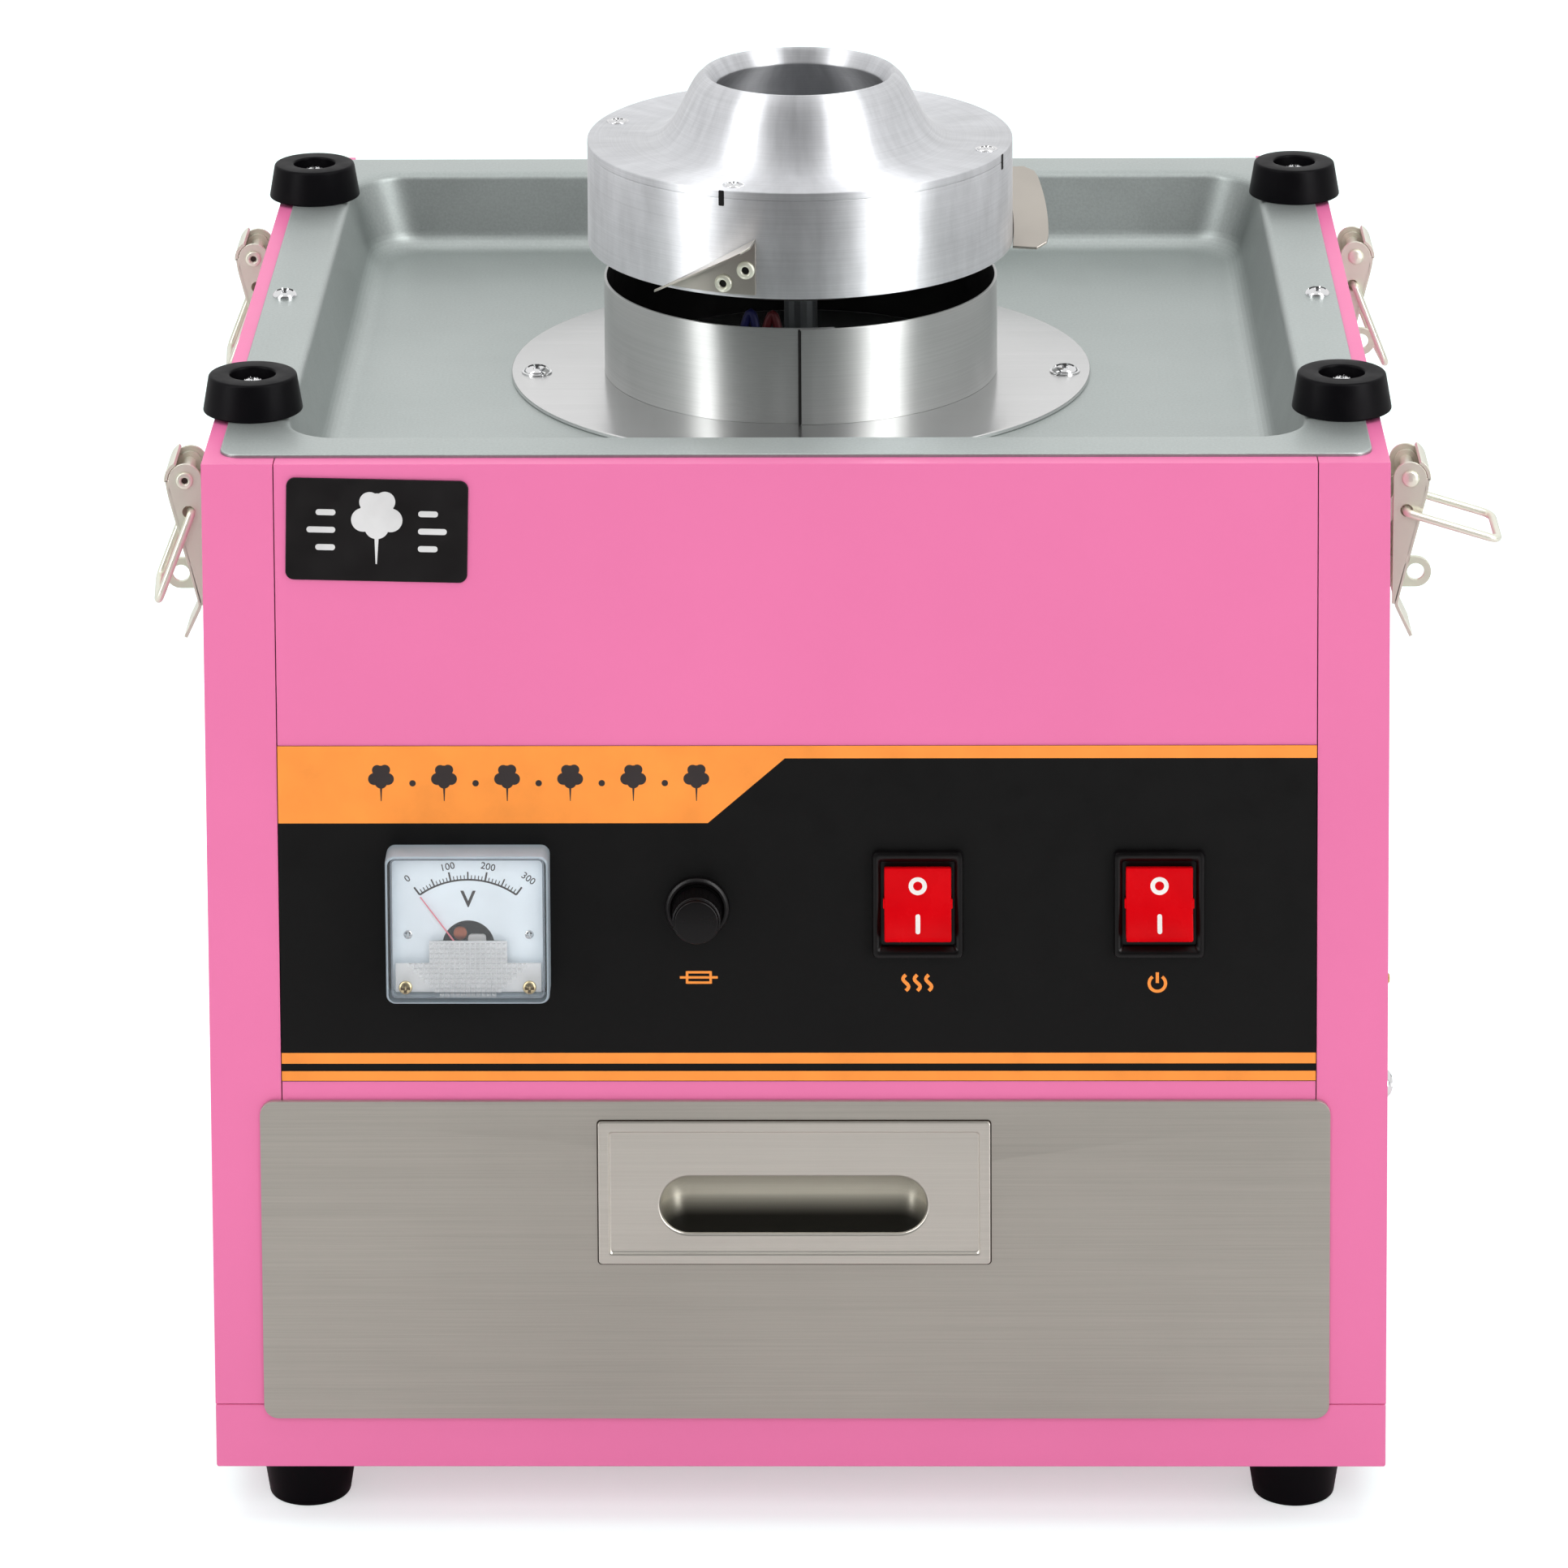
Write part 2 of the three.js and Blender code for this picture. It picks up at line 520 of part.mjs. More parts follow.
// The insulating hub on the shaft with its two moulded-in slip rings.
function ringHub() {
  const bore = SHAFT_R + 0.05;
  const hub = ring(bore, RINGS.hubR, RINGS.bottom, RINGS.top, 24);
  const rings = [0, 1].map((i) => {
    const low = ringHeight(i);
    return ring(RINGS.hubR - 1, RINGS.r, low, low + RINGS.ringH, 24);
  });
  return join(hub, ...rings);
}

// One vane: a blade standing out from a sloping fold, with its riveted leg lying on the bowl.
function airVane() {
  const half = VANE.run / 2;
  const length = Math.hypot(VANE.run, VANE.rise);
  const geometry = new THREE.BoxGeometry(VANE.out + 3, length, VANE.thick);
  geometry.rotateX(Math.atan2(VANE.rise, VANE.run));
  geometry.translate(HEAD.r + (VANE.out - 3) / 2, 0, VANE.low + VANE.rise / 2);
  const triangle = new THREE.Shape([
    new THREE.Vector2(-half + 4, 1), new THREE.Vector2(half, 1), new THREE.Vector2(half, VANE.rise),
  ]);
  const leg = new THREE.ExtrudeGeometry(triangle, { depth: 12, bevelEnabled: false });
  leg.rotateX(Math.PI / 2);
  leg.rotateZ(Math.PI / 2);
  leg.translate(HEAD.r - 6, 0, VANE.low);
  const skin = ring(HEAD.r + 0.1, HEAD.r + 0.1 + VANE.legThick, VANE.low - 5, VANE.low + VANE.rise + 5, 96);
  const bowl = post(HEAD.r + 0.1, 0, 0, VANE.low - 20, VANE.low + 60, 96);
  return cut(solid(geometry), bowl).add(solid(leg).intersect(skin));
}

const spinner = new THREE.Group();
machine.add(spinner);
place(spinner, 'spinner_cap', spinnerCap(), ALUMINIUM);
place(spinner, 'spinner_bowl', spinnerBowl(), ALUMINIUM);
place(spinner, 'heater_ring', heaterRing(), HEATER);
place(spinner, 'insulator_disc', insulatorDisc(), CERAMIC);
place(spinner, 'drive_shaft', driveShaft(), GALVANISED);
place(spinner, 'slip_ring_hub', ringHub(), BRASS);
for (let i = 0; i < VANE.count; i += 1) {
  const vane = place(spinner, `air_vane_${i + 1}`, airVane(), NICKEL);
  vane.rotation.z = THREE.MathUtils.degToRad(VANE.first + (i * 360) / VANE.count);
}

// ---- Drawer -------------------------------------------------------------------------------
const slotHole = (margin, y0, y1) =>
  standing(roundRect(SLOT.w + 2 * margin, SLOT.h + 2 * margin, SLOT.h / 2 + margin - 0.01),
    SLOT.x, SLOT.z, y0, y1, 6);

function drawerBox() {
  const { halfW, bottom, top, back, front } = DRAWER_BOX;
  const shell = block(-halfW, halfW, front, back, bottom, top);
  const hollow = block(-halfW + SHEET, halfW - SHEET, front + SHEET, back - SHEET, bottom + SHEET, top + 1);
  return cut(shell, hollow, slotHole(2, front - 1, front + SHEET + 1));
}

// The flat front plate, standing proud of the cabinet, with an opening for the pull's cup.
function drawerFront() {
  const y1 = FRONT - 0.2;
  const y0 = y1 - DRAWER.thick;
  const z = DRAWER.bottom + DRAWER.h / 2;
  const plate = standing(roundRect(DRAWER.w, DRAWER.h, DRAWER.corner), DRAWER.x, z, y0, y1);
  const tab = block(-120, 120, y1 - 0.5, DRAWER_BOX.front - 0.05, DRAWER_BOX.bottom + 4, DRAWER_BOX.top - 4);
  return cut(join(plate, tab), slotHole(1.2, y0 - 1, DRAWER_BOX.front + 1));
}

// A flush pull: a rectangular plate with a raised border and a stadium-shaped finger cup.
function drawerPull() {
  const y1 = FRONT - 0.2 - DRAWER.thick - 0.05;
  const y0 = y1 - PULL.thick;
  const plate = standing(roundRect(PULL.w, PULL.h, PULL.corner), PULL.x, PULL.z, y0, y1);
  const cup = slotHole(0.9, y0, y0 + SLOT.deep);
  return cut(join(plate, cup), slotHole(0, y0 - 1, y0 + SLOT.deep - 1));
}

const drawer = new THREE.Group();
machine.add(drawer);
place(drawer, 'drawer_box', drawerBox(), GALVANISED);
place(drawer, 'drawer_front', drawerFront(), BRUSHED);
place(drawer, 'drawer_pull', drawerPull(), BRUSHED);

// ---- Voltmeter ----------------------------------------------------------------------------
// Local frame: origin at the meter's centre on the label's face, -Y towards the reader.
function meterCase() {
  const flange = standing(roundRect(METER.w - 3.2, METER.h - 3.2, 2), 0, 0, -2, -0.05);
  const barrel = bar(METER.barrelR, 0, 0, -1, METER.barrelLong, 24);
  return join(flange, barrel);
}

// A clear cover open at the back, resting on the label round the case's flange.
function meterCover() {
  const shell = standing(roundRect(METER.w, METER.h, 2.5), 0, 0, -METER.out, -0.05);
  const hollow = standing(roundRect(METER.w - 2 * METER.wall, METER.h - 2 * METER.wall, 1.6),
    0, 0, -METER.out + METER.wall, 1);
  return cut(shell, hollow);
}

const meterDial = () =>
  standing(roundRect(DIAL.w, DIAL.h, 1), 0, 0, DIAL.y - DIAL.thick, DIAL.y);

// The needle lies along its rest direction, a hub at the pivot and a thin pointer.
function meterNeedle() {
  const hub = bar(2.2, 0, 0, -2.2, -0.6, 12);
  const pointer = slab([[-0.35, 1], [0.35, 1], [0.2, 23], [-0.2, 23]], -1.7, -1.3);
  const tail = slab([[-0.6, -5], [0.6, -5], [0.6, 1], [-0.6, 1]], -1.7, -1.3);
  return join(hub, pointer, tail);
}

const voltmeter = new THREE.Group();
voltmeter.position.set(METER.x, LABEL_FACE, METER.z);
machine.add(voltmeter);
place(voltmeter, 'voltmeter_case', meterCase(), BLACK_PLASTIC);
place(voltmeter, 'voltmeter_cover', meterCover(), CLEAR);
place(voltmeter, 'voltmeter_dial', meterDial(), DIAL_WHITE);
const needle = place(voltmeter, 'voltmeter_needle', meterNeedle(), RED_PLASTIC);
needle.position.set(0, DIAL.y - DIAL.thick, DIAL.pivotZ);
needle.rotation.y = THREE.MathUtils.degToRad(-DIAL.sweep / 2);

// ---- Fuse holder --------------------------------------------------------------------------
// Local frame: origin at the holder's axis on the label's face, -Y towards the user.
function fuseHolder() {
  const flange = bar(FUSE.flangeR, 0, 0, -FUSE.flangeThick, -0.05, 24);
  const barrel = bar(FUSE.barrelR, 0, 0, -FUSE.flangeThick, 32, 16);
  return cut(join(flange, barrel), bar(FUSE.boreR, 0, 0, -FUSE.flangeThick - 1, 30, 16));
}

function fuseCap() {
  const knob = bar(FUSE.capR, 0, 0, -FUSE.out, -FUSE.flangeThick - GAP, 24);
  const stem = bar(FUSE.boreR - GAP, 0, 0, -FUSE.out + 1, 8, 16);
  const slot = block(-FUSE.capR, FUSE.capR, -FUSE.out - 1, -FUSE.out + 1.2, -0.7, 0.7);
  return cut(join(knob, stem), bar(2.8, 0, 0, 2, 9, 12), slot);
}

const fuse = new THREE.Group();
fuse.position.set(FUSE.x, LABEL_FACE, FUSE.z);
machine.add(fuse);
place(fuse, 'fuse_holder', fuseHolder(), BLACK_PLASTIC);
place(fuse, 'fuse_cap', fuseCap(), BLACK_PLASTIC);
place(fuse, 'fuse_tube', bar(2.5, 0, 0, 2.3, 2.3 + FUSE.length, 12), GLASS_TUBE);

// ---- Rocker switches ----------------------------------------------------------------------
// Local frame: origin at the switch's centre on the label's face, -Y towards the user.
function switchBody() {
  const bezel = standing(roundRect(SWITCH.w, SWITCH.h, 1.5), 0, 0, -SWITCH.bezel, -0.05);
  const body = block(-SWITCH.bodyW / 2, SWITCH.bodyW / 2, -SWITCH.bezel, SWITCH.bodyLong,
    -SWITCH.bodyH / 2, SWITCH.bodyH / 2);
  const well = block(-SWITCH.wellW / 2, SWITCH.wellW / 2, -SWITCH.bezel - 1, SWITCH.wellDeep,
    -SWITCH.wellH / 2, SWITCH.wellH / 2);
  return cut(join(bezel, body), well);
}

// A rocker about X: a shallow valley across its face, tapering to a round belly behind.
function rocker() {
  const half = ROCKER.h / 2;
  const profile = [[-ROCKER.valley, 0], [-ROCKER.edge, half], [-1, half - 0.4], [5, 6], [6, 0], [5, -6],
    [-1, -half + 0.4], [-ROCKER.edge, -half]];
  const shape = new THREE.Shape(profile.map(([y, z]) => new THREE.Vector2(y, z)));
  const geometry = new THREE.ExtrudeGeometry(shape, { depth: ROCKER.w, bevelEnabled: false });
  geometry.translate(0, 0, -ROCKER.w / 2);
  const basis = new THREE.Matrix4().makeBasis(
    new THREE.Vector3(0, 1, 0), new THREE.Vector3(0, 0, 1), new THREE.Vector3(1, 0, 0));
  geometry.applyMatrix4(basis);
  return solid(geometry);
}

for (const [name, x] of [['heat', HEAT_SWITCH_X], ['power', POWER_SWITCH_X]]) {
  const rockerSwitch = new THREE.Group();
  rockerSwitch.position.set(x, LABEL_FACE, SWITCH.z);
  machine.add(rockerSwitch);
  place(rockerSwitch, `${name}_switch_body`, switchBody(), BLACK_PLASTIC);
  const moving = place(rockerSwitch, `${name}_switch_rocker`, rocker(), RED_PLASTIC);
  moving.position.y = ROCKER.pivotDepth;
  moving.rotation.x = THREE.MathUtils.degToRad(-ROCKER.tilt);
}

// ---- Toggle latches -----------------------------------------------------------------------
// The fixed part: wall plate, two lugs holding the riveted pin, and the padlock eye.
function latchBase() {
  const wall = -LATCH.out + 0.05;
  const face = wall + PLATE.wall;
  let base = block(wall, face, -LUG.half, LUG.half, PLATE.bottom, PLATE.top);
  for (const side of [-1, 1]) {
    const y0 = side > 0 ? LUG.half - LUG.wall : -LUG.half;
    const arm = slab([[face - 0.5, -16], [2, -2.8], [-2.6, -2.2], [face - 0.5, -9]], y0, y0 + LUG.wall);
    const lug = join(arm, bar(LUG.r, 0, 0, y0, y0 + LUG.wall, 14));
    const inside = side * (LUG.half - 0.5);
    const underHead = side * (LEVER.half + PIN.play);
    const outside = side * (LEVER.half + PIN.play + PIN.head);
    const shank = bar(PIN.r, 0, 0, Math.min(inside, outside), Math.max(inside, outside), 10);
    const head = bar(PIN.headR, 0, 0, Math.min(underHead, outside), Math.max(underHead, outside), 12);
    base = join(base, lug, shank, head);
  }
  const tongue = slab([[face - 0.5, EYE.z - EYE.r], [EYE.x, EYE.z - EYE.r], [EYE.x, EYE.z + EYE.r],
    [face - 0.5, EYE.z + EYE.r]], -EYE.thick / 2, EYE.thick / 2);
  const eye = join(tongue, bar(EYE.r, EYE.x, EYE.z, -EYE.thick / 2, EYE.thick / 2, 16));
  return cut(base.add(eye), bar(EYE.hole, EYE.x, EYE.z, -5, 5, 12));
}

// The lever: two ears round the pin, a sloping back with a slot for the eye, a hood and a bent tip.
function latchLever() {
  const { half, wall, earR, hoodR, tipX, tipZ, footX, footZ } = LEVER;
  const ears = [];
  for (const y0 of [-half, half - wall]) {
    const outline = new THREE.Shape();
    outline.moveTo(-earR, -2);
    outline.lineTo(footX - 1, footZ);
    outline.lineTo(footX, footZ);
    outline.lineTo(-0.4, -21.9);
    outline.lineTo(earR - 0.2, -3);
    outline.absarc(0, 0, earR, -0.2, Math.PI, false);
    outline.closePath();
    ears.push(standing(outline, 0, 0, y0, y0 + wall, 6));
  }
  const backFace = [[earR + 0.9, 0], [earR + 0.3, -4], [0.4, -21.9], [footX + 0.6, footZ], [tipX + 0.5, tipZ],
    [tipX - 0.5, tipZ], [footX - 0.6, footZ], [-0.7, -21.9], [earR - 0.7, -4], [earR - 0.1, 0]];
  const back = slab(backFace, -half, half);
  const hoodBore = bar(hoodR - wall, 0, 0, -half - 1, half + 1, 20);
  const hoodRing = bar(hoodR, 0, 0, -half, half, 20).subtract(hoodBore);
  const quadrant = slab([[0, 0], [8, -2], [8, 8], [-2, 8]], -half - 1, half + 1);
  const slotHalf = EYE.thick / 2 + 0.8;
  const slot = block(-8, 12, -slotHalf, slotHalf, EYE.z - EYE.r - 1.5, EYE.z + EYE.r + 1.5);
  const pinHole = bar(PIN.r + 0.2, 0, 0, -half - 1, half + 1, 10);
  const bailHole = bar(BAIL.hole, BAIL.x, BAIL.z, -half - 1, half + 1, 10);
  return cut(join(back, ...ears, hoodRing.intersect(quadrant)), slot, pinHole, bailHole);
}

// The wire bail in its local frame: hinged at the origin, reaching out along +X, open at the lever.
function latchBail() {
  const inner = LEVER.half - LEVER.wall - 0.6;
  const far = BAIL.length;
  const corner = 3;
  return wire([[0, -inner, 0], [0, -BAIL.half, 0], [far - corner, -BAIL.half, 0],
    [far, -BAIL.half + corner, 0], [far, BAIL.half - corner, 0], [far - corner, BAIL.half, 0],
    [0, BAIL.half, 0], [0, inner, 0]], BAIL.wire);
}

for (const [corner, sx, sy] of CORNERS) {
  const latch = new THREE.Group();
  latch.position.set(sx * (HALF_W + LATCH.out), sy * LATCH.y, LATCH.z);
  latch.rotation.z = sx > 0 ? 0 : Math.PI;
  machine.add(latch);
  place(latch, `latch_base_${corner}`, latchBase(), NICKEL);
  place(latch, `latch_lever_${corner}`, latchLever(), NICKEL);
  const bail = place(latch, `latch_bail_${corner}`, latchBail(), NICKEL);
  bail.position.set(BAIL.x, 0, BAIL.z);
  const angle = corner === 'front_right' ? BAIL.raised : BAIL.hang;
  bail.rotation.y = THREE.MathUtils.degToRad(-angle);
}

machine.position.z = -BODY_BOTTOM;

export default machine;
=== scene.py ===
"""Looks of the counter-top cotton candy machine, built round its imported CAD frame.

Lengths here are millimetres in the frame's axes: +X right, -Y front, +Z up, origin at the centre of
the base pan's underside. A mesh is scaled to metres once, when its object is made."""
import math

import bmesh
import bpy
from mathutils import Matrix, Vector
from mathutils.geometry import tessellate_polygon

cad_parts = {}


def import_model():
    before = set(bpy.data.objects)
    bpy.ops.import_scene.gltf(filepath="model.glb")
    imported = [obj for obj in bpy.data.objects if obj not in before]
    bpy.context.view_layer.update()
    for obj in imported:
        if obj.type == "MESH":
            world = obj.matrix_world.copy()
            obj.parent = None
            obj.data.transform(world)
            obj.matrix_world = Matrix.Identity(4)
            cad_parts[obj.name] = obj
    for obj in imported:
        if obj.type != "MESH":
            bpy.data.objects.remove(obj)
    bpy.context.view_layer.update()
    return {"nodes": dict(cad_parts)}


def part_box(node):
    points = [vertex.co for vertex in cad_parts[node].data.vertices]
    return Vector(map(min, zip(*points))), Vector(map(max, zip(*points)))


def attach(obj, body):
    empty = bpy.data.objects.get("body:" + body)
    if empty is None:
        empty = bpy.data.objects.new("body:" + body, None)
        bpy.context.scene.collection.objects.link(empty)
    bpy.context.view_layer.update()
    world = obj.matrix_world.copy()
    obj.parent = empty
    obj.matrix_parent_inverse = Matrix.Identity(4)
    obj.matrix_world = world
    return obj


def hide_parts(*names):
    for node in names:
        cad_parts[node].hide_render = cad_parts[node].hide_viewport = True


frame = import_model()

MM = 0.001
CORNERS = (("front_left", -1, -1), ("front_right", 1, -1), ("rear_left", -1, 1), ("rear_right", 1, 1))


# ---- Places, read from the CAD frame ------------------------------------------------------------
class Span:
    """The box of a CAD node at rest, in millimetres."""

    def __init__(self, node):
        low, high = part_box(node)
        self.x0, self.y0, self.z0 = (v / MM for v in low)
        self.x1, self.y1, self.z1 = (v / MM for v in high)
        self.x, self.y, self.z = ((a + b) / 2 / MM for a, b in zip(low, high))
        self.w, self.d, self.h = self.x1 - self.x0, self.y1 - self.y0, self.z1 - self.z0


LABEL = Span("control_label")
TRAY = Span("top_tray")
SIDE = Span("base_pan").x1
LABEL_FACE = LABEL.y0


# ---- Outlines and forms -------------------------------------------------------------------------
def polar(r, degrees, x=0.0, z=0.0):
    """The point at a distance and an angle from a centre."""
    turn = math.radians(degrees)
    return (x + r * math.cos(turn), z + r * math.sin(turn))


def arc(r, degrees, x=0.0, z=0.0):
    """The points at each of some angles round a centre."""
    return [polar(r, turn, x, z) for turn in degrees]


def circle(r, x=0.0, z=0.0, steps=32):
    return arc(r, (360 * k / steps for k in range(steps)), x, z)


def spin(axis, degrees):
    return Matrix.Rotation(math.radians(degrees), 4, axis)


def shift(x, y, z):
    return Matrix.Translation((x, y, z))


FORWARD = spin("X", 90)  # stands what was made about +Z, or in the XY plane, towards -Y


def fillet(points, closed=True, steps=4):
    """A polyline of (a, b) or (a, b, radius) points with each radius rounded."""
    nearly_half = 0.49  # of an edge, so that two roundings never meet
    out = []
    count = len(points)
    for i, point in enumerate(points):
        here = Vector(point[:2])
        radius = point[2] if len(point) > 2 else 0
        if radius == 0 or (not closed and i in (0, count - 1)):
            out.append(tuple(here))
            continue
        before = Vector(points[i - 1][:2]) - here
        after = Vector(points[(i + 1) % count][:2]) - here
        reach = radius / math.tan(before.angle(after) / 2)
        reach = min(reach, before.length * nearly_half, after.length * nearly_half)
        start = here + before.normalized() * reach
        end = here + after.normalized() * reach
        for k in range(steps + 1):
            t = k / steps
            out.append(tuple(start * (1 - t) ** 2 + here * 2 * t * (1 - t) + end * t * t))
    return out


def round_rect(w, h, r, steps=8, x=0.0, z=0.0):
    """A rectangle with round corners as (a, b) points, anticlockwise."""
    r = min(r, w / 2 - 0.001, h / 2 - 0.001)
    out = []
    for quarter, (sx, sz) in enumerate(((1, 1), (-1, 1), (-1, -1), (1, -1))):
        centre = (x + sx * (w / 2 - r), z + sz * (h / 2 - r))
        out += arc(r, (90 * (quarter + k / steps) for k in range(steps + 1)), *centre)
    return out


def bezier(points, steps):
    """Points along the cubic curve of four (a, b) control points."""
    controls = [Vector(point) for point in points]
    out = []
    for k in range(steps + 1):
        t = k / steps
        shares = ((1 - t) ** 3, 3 * t * (1 - t) ** 2, 3 * t * t * (1 - t), t ** 3)
        out.append(tuple(sum((c * share for c, share in zip(controls, shares)), Vector((0, 0)))))
    return out


class Form:
    """Vertices in millimetres and faces."""

    def __init__(self, verts=(), faces=()):
        self.verts = [Vector(v) for v in verts]
        self.faces = [tuple(f) for f in faces]

    def __add__(self, other):
        first = len(self.verts)
        faces = self.faces + [tuple(i + first for i in f) for f in other.faces]
        return Form(self.verts + other.verts, faces)

    def moved(self, matrix):
        return Form([matrix @ v for v in self.verts], self.faces)

    def at(self, x, y, z):
        return self.moved(shift(x, y, z))

    def bent(self, change):
        return Form([change(v) for v in self.verts], self.faces)


def loft(rings, caps=True):
    """Faces between closed rings of equally many points."""
    n = len(rings[0])
    faces = []
    for j in range(len(rings) - 1):
        for i in range(n):
            k = (i + 1) % n
            faces.append((j * n + i, j * n + k, (j + 1) * n + k, (j + 1) * n + i))
    if caps:
        faces.append(tuple(range(n))[::-1])
        faces.append(tuple((len(rings) - 1) * n + i for i in range(n)))
    return Form([v for ring in rings for v in ring], faces)


def lathe(profile, steps):
    """A closed profile of (radius, height) points turned about Z."""
    rings = [[(*polar(r, 360 * k / steps), z) for r, z in profile] for k in range(steps)]
    rings.append(rings[0])
    return loft(rings, caps=False)


def plate(outline, y0, y1, holes=()):
    """A flat sheet standing in the XZ plane between two depths."""
    flat = [point for loop in (outline, *holes) for point in loop]
    n = len(flat)
    if holes:
        loops = [[Vector((a, b, 0)) for a, b in loop] for loop in (outline, *holes)]
        caps = tessellate_polygon(loops)
    else:
        caps = [tuple(range(n))]
    faces = [tuple(cap) for cap in caps] + [tuple(i + n for i in cap)[::-1] for cap in caps]
    start = 0
    for loop in (outline, *holes):
        size = len(loop)
        for i in range(size):
            a, b = start + i, start + (i + 1) % size
            faces.append((a, b, b + n, a + n))
        start += size
    return Form([(a, y0, b) for a, b in flat] + [(a, y1, b) for a, b in flat], faces)


def rect_loft(sections, x=0.0, z=0.0, steps=8, caps=True):
    """A loft along Y of round rectangles, each (width, height, corner, depth)."""
    rings = []
    for w, h, r, y in sections:
        rings.append([(a, y, b) for a, b in round_rect(w, h, r, steps, x, z)])
    return loft(rings, caps=caps)


def bar(w, h, corner, y0, y1, x=0.0, z=0.0, steps=3):
    """A straight bar along Y with round corners."""
    return rect_loft([(w, h, corner, y0), (w, h, corner, y1)], x, z, steps)


def directions(points):
    """Each point of a path as a vector, with the direction in which the path passes it."""
    points = [Vector(point) for point in points]
    last = len(points) - 1
    return [(point, (points[min(i + 1, last)] - points[max(i - 1, 0)]).normalized())
            for i, point in enumerate(points)]


def tube(path, r, sides):
    """A round wire along a path of 3-D points."""
    rings = []
    side = None
    for point, along in directions(path):
        if side is None:
            side = along.orthogonal().normalized()
        side = (side - along * side.dot(along)).normalized()
        across = along.cross(side)
        rings.append([point + side * a + across * b for a, b in circle(r, steps=sides)])
    return loft(rings)


def ribbon(points, width, y0, y1):
    """A strip along Y between two depths, of some width, through (a, b) points."""
    rings = []
    for point, along in directions(points):
        across = Vector((-along.y, along.x)) * width / 2
        a, b = point + across, point - across
        rings.append([(a.x, y0, a.y), (a.x, y1, a.y), (b.x, y1, b.y), (b.x, y0, b.y)])
    return loft(rings)


def lettering(text, size, x, z, turn, y, thick=0.05, bold=0.016):
    """A dial figure, centred, standing in the XZ plane and read from -Y."""
    curve = bpy.data.curves.new("figure", "FONT")
    curve.body = text
    curve.size = size
    curve.align_x = "CENTER"
    curve.align_y = "CENTER"
    curve.extrude = thick / 2
    curve.offset = size * bold
    curve.resolution_u = 4
    holder = bpy.data.objects.new("figure", curve)
    bpy.context.scene.collection.objects.link(holder)
    drawn = holder.evaluated_get(bpy.context.evaluated_depsgraph_get()).to_mesh()
    form = Form([v.co.copy() for v in drawn.vertices], [tuple(p.vertices) for p in drawn.polygons])
    bpy.data.objects.remove(holder)
    bpy.data.curves.remove(curve)
    return form.moved(shift(x, y, z) @ spin("Y", turn) @ FORWARD)


def screw_head(r, height, recess=0.6):
    """A domed screw head about Z, its seat at height 0, with a cross of some share of that height."""
    rings, steps = 12, 48
    arm, reach = r * 0.16, r * 0.62
    foot_r, foot_z, dome_share = r * 0.98, -0.3, 0.96
    rows = [[(x, y, foot_z) for x, y in circle(foot_r, steps=steps)]]
    for j in range(rings + 1):
        share = math.cos(math.pi / 2 * j / rings)
        z = height * math.sqrt(1 - share * share * dome_share)
        row = []
        for x, y in circle(r * share, steps=steps):
            inside = min(abs(x), abs(y)) < arm and max(abs(x), abs(y)) < reach
            row.append((x, y, z - (recess * height if inside else 0)))
        rows.append(row)
    return loft(rows)


# ---- Objects ------------------------------------------------------------------------------------
def bevelled(obj, width):
    """A bevel, in millimetres, on every sharp edge."""
    sharp = 35
    modifier = obj.modifiers.new("edges", "BEVEL")
    modifier.width = width * MM
    modifier.segments = 2
    modifier.limit_method = "ANGLE"
    modifier.angle_limit = math.radians(sharp)
    modifier.harden_normals = True


def clean_mesh(name, form):
    """A mesh in metres, with doubled points merged and its faces turned outward."""
    mesh = bpy.data.meshes.new(name)
    mesh.from_pydata([v * MM for v in form.verts], [], form.faces)
    work = bmesh.new()
    work.from_mesh(mesh)
    bmesh.ops.remove_doubles(work, verts=work.verts, dist=1e-7)
    bmesh.ops.dissolve_degenerate(work, edges=work.edges, dist=1e-8)
    bmesh.ops.recalc_face_normals(work, faces=work.faces)
    work.to_mesh(mesh)
    work.free()
    return mesh


def piece(name, form, material, slot, body="cabinet", replaces=None, bevel=0.0, sharp=38):
    """A new visible piece riding on a body; replaces names the CAD node it stands for."""
    mesh = clean_mesh(name, form)
    mesh.materials.append(material)
    mesh.shade_smooth()
    mesh.set_sharp_from_angle(angle=math.radians(sharp))
    obj = bpy.data.objects.new(name, mesh)
    bpy.context.scene.collection.objects.link(obj)
    if bevel:
        bevelled(obj, bevel)
    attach(obj, body)
    if replaces:
        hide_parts(replaces)
    return obj


def cut_from(obj, form):
    """Cuts a closed form out of a piece for good."""
    cutter = bpy.data.objects.new("cutter", clean_mesh("cutter", form))
    bpy.context.scene.collection.objects.link(cutter)
    modifier = obj.modifiers.new("cut", "BOOLEAN")
    modifier.object = cutter
    modifier.solver = "EXACT"
    bpy.context.view_layer.update()
    shape = bpy.data.meshes.new_from_object(obj.evaluated_get(bpy.context.evaluated_depsgraph_get()))
    obj.modifiers.remove(modifier)
    obj.data = shape
    bpy.data.objects.remove(cutter)
    assert len(shape.polygons) > 0


def dress(node, material, bevel=0.0):
    """A CAD node that stays: its material, welded facets and softened edges."""
    obj = frame["nodes"][node]
    obj.data.materials.clear()
    obj.data.materials.append(material)
    weld = obj.modifiers.new("weld", "WELD")
    weld.merge_threshold = 2e-6
    if bevel:
        bevelled(obj, bevel)


# ---- Materials ----------------------------------------------------------------------------------
def srgb(colour):
    """0 to 255 screen values as linear colour."""
    def linear(v):
        v = v / 255
        return v / 12.92 if v <= 0.04045 else ((v + 0.055) / 1.055) ** 2.4
    return (*(linear(v) for v in colour), 1.0)


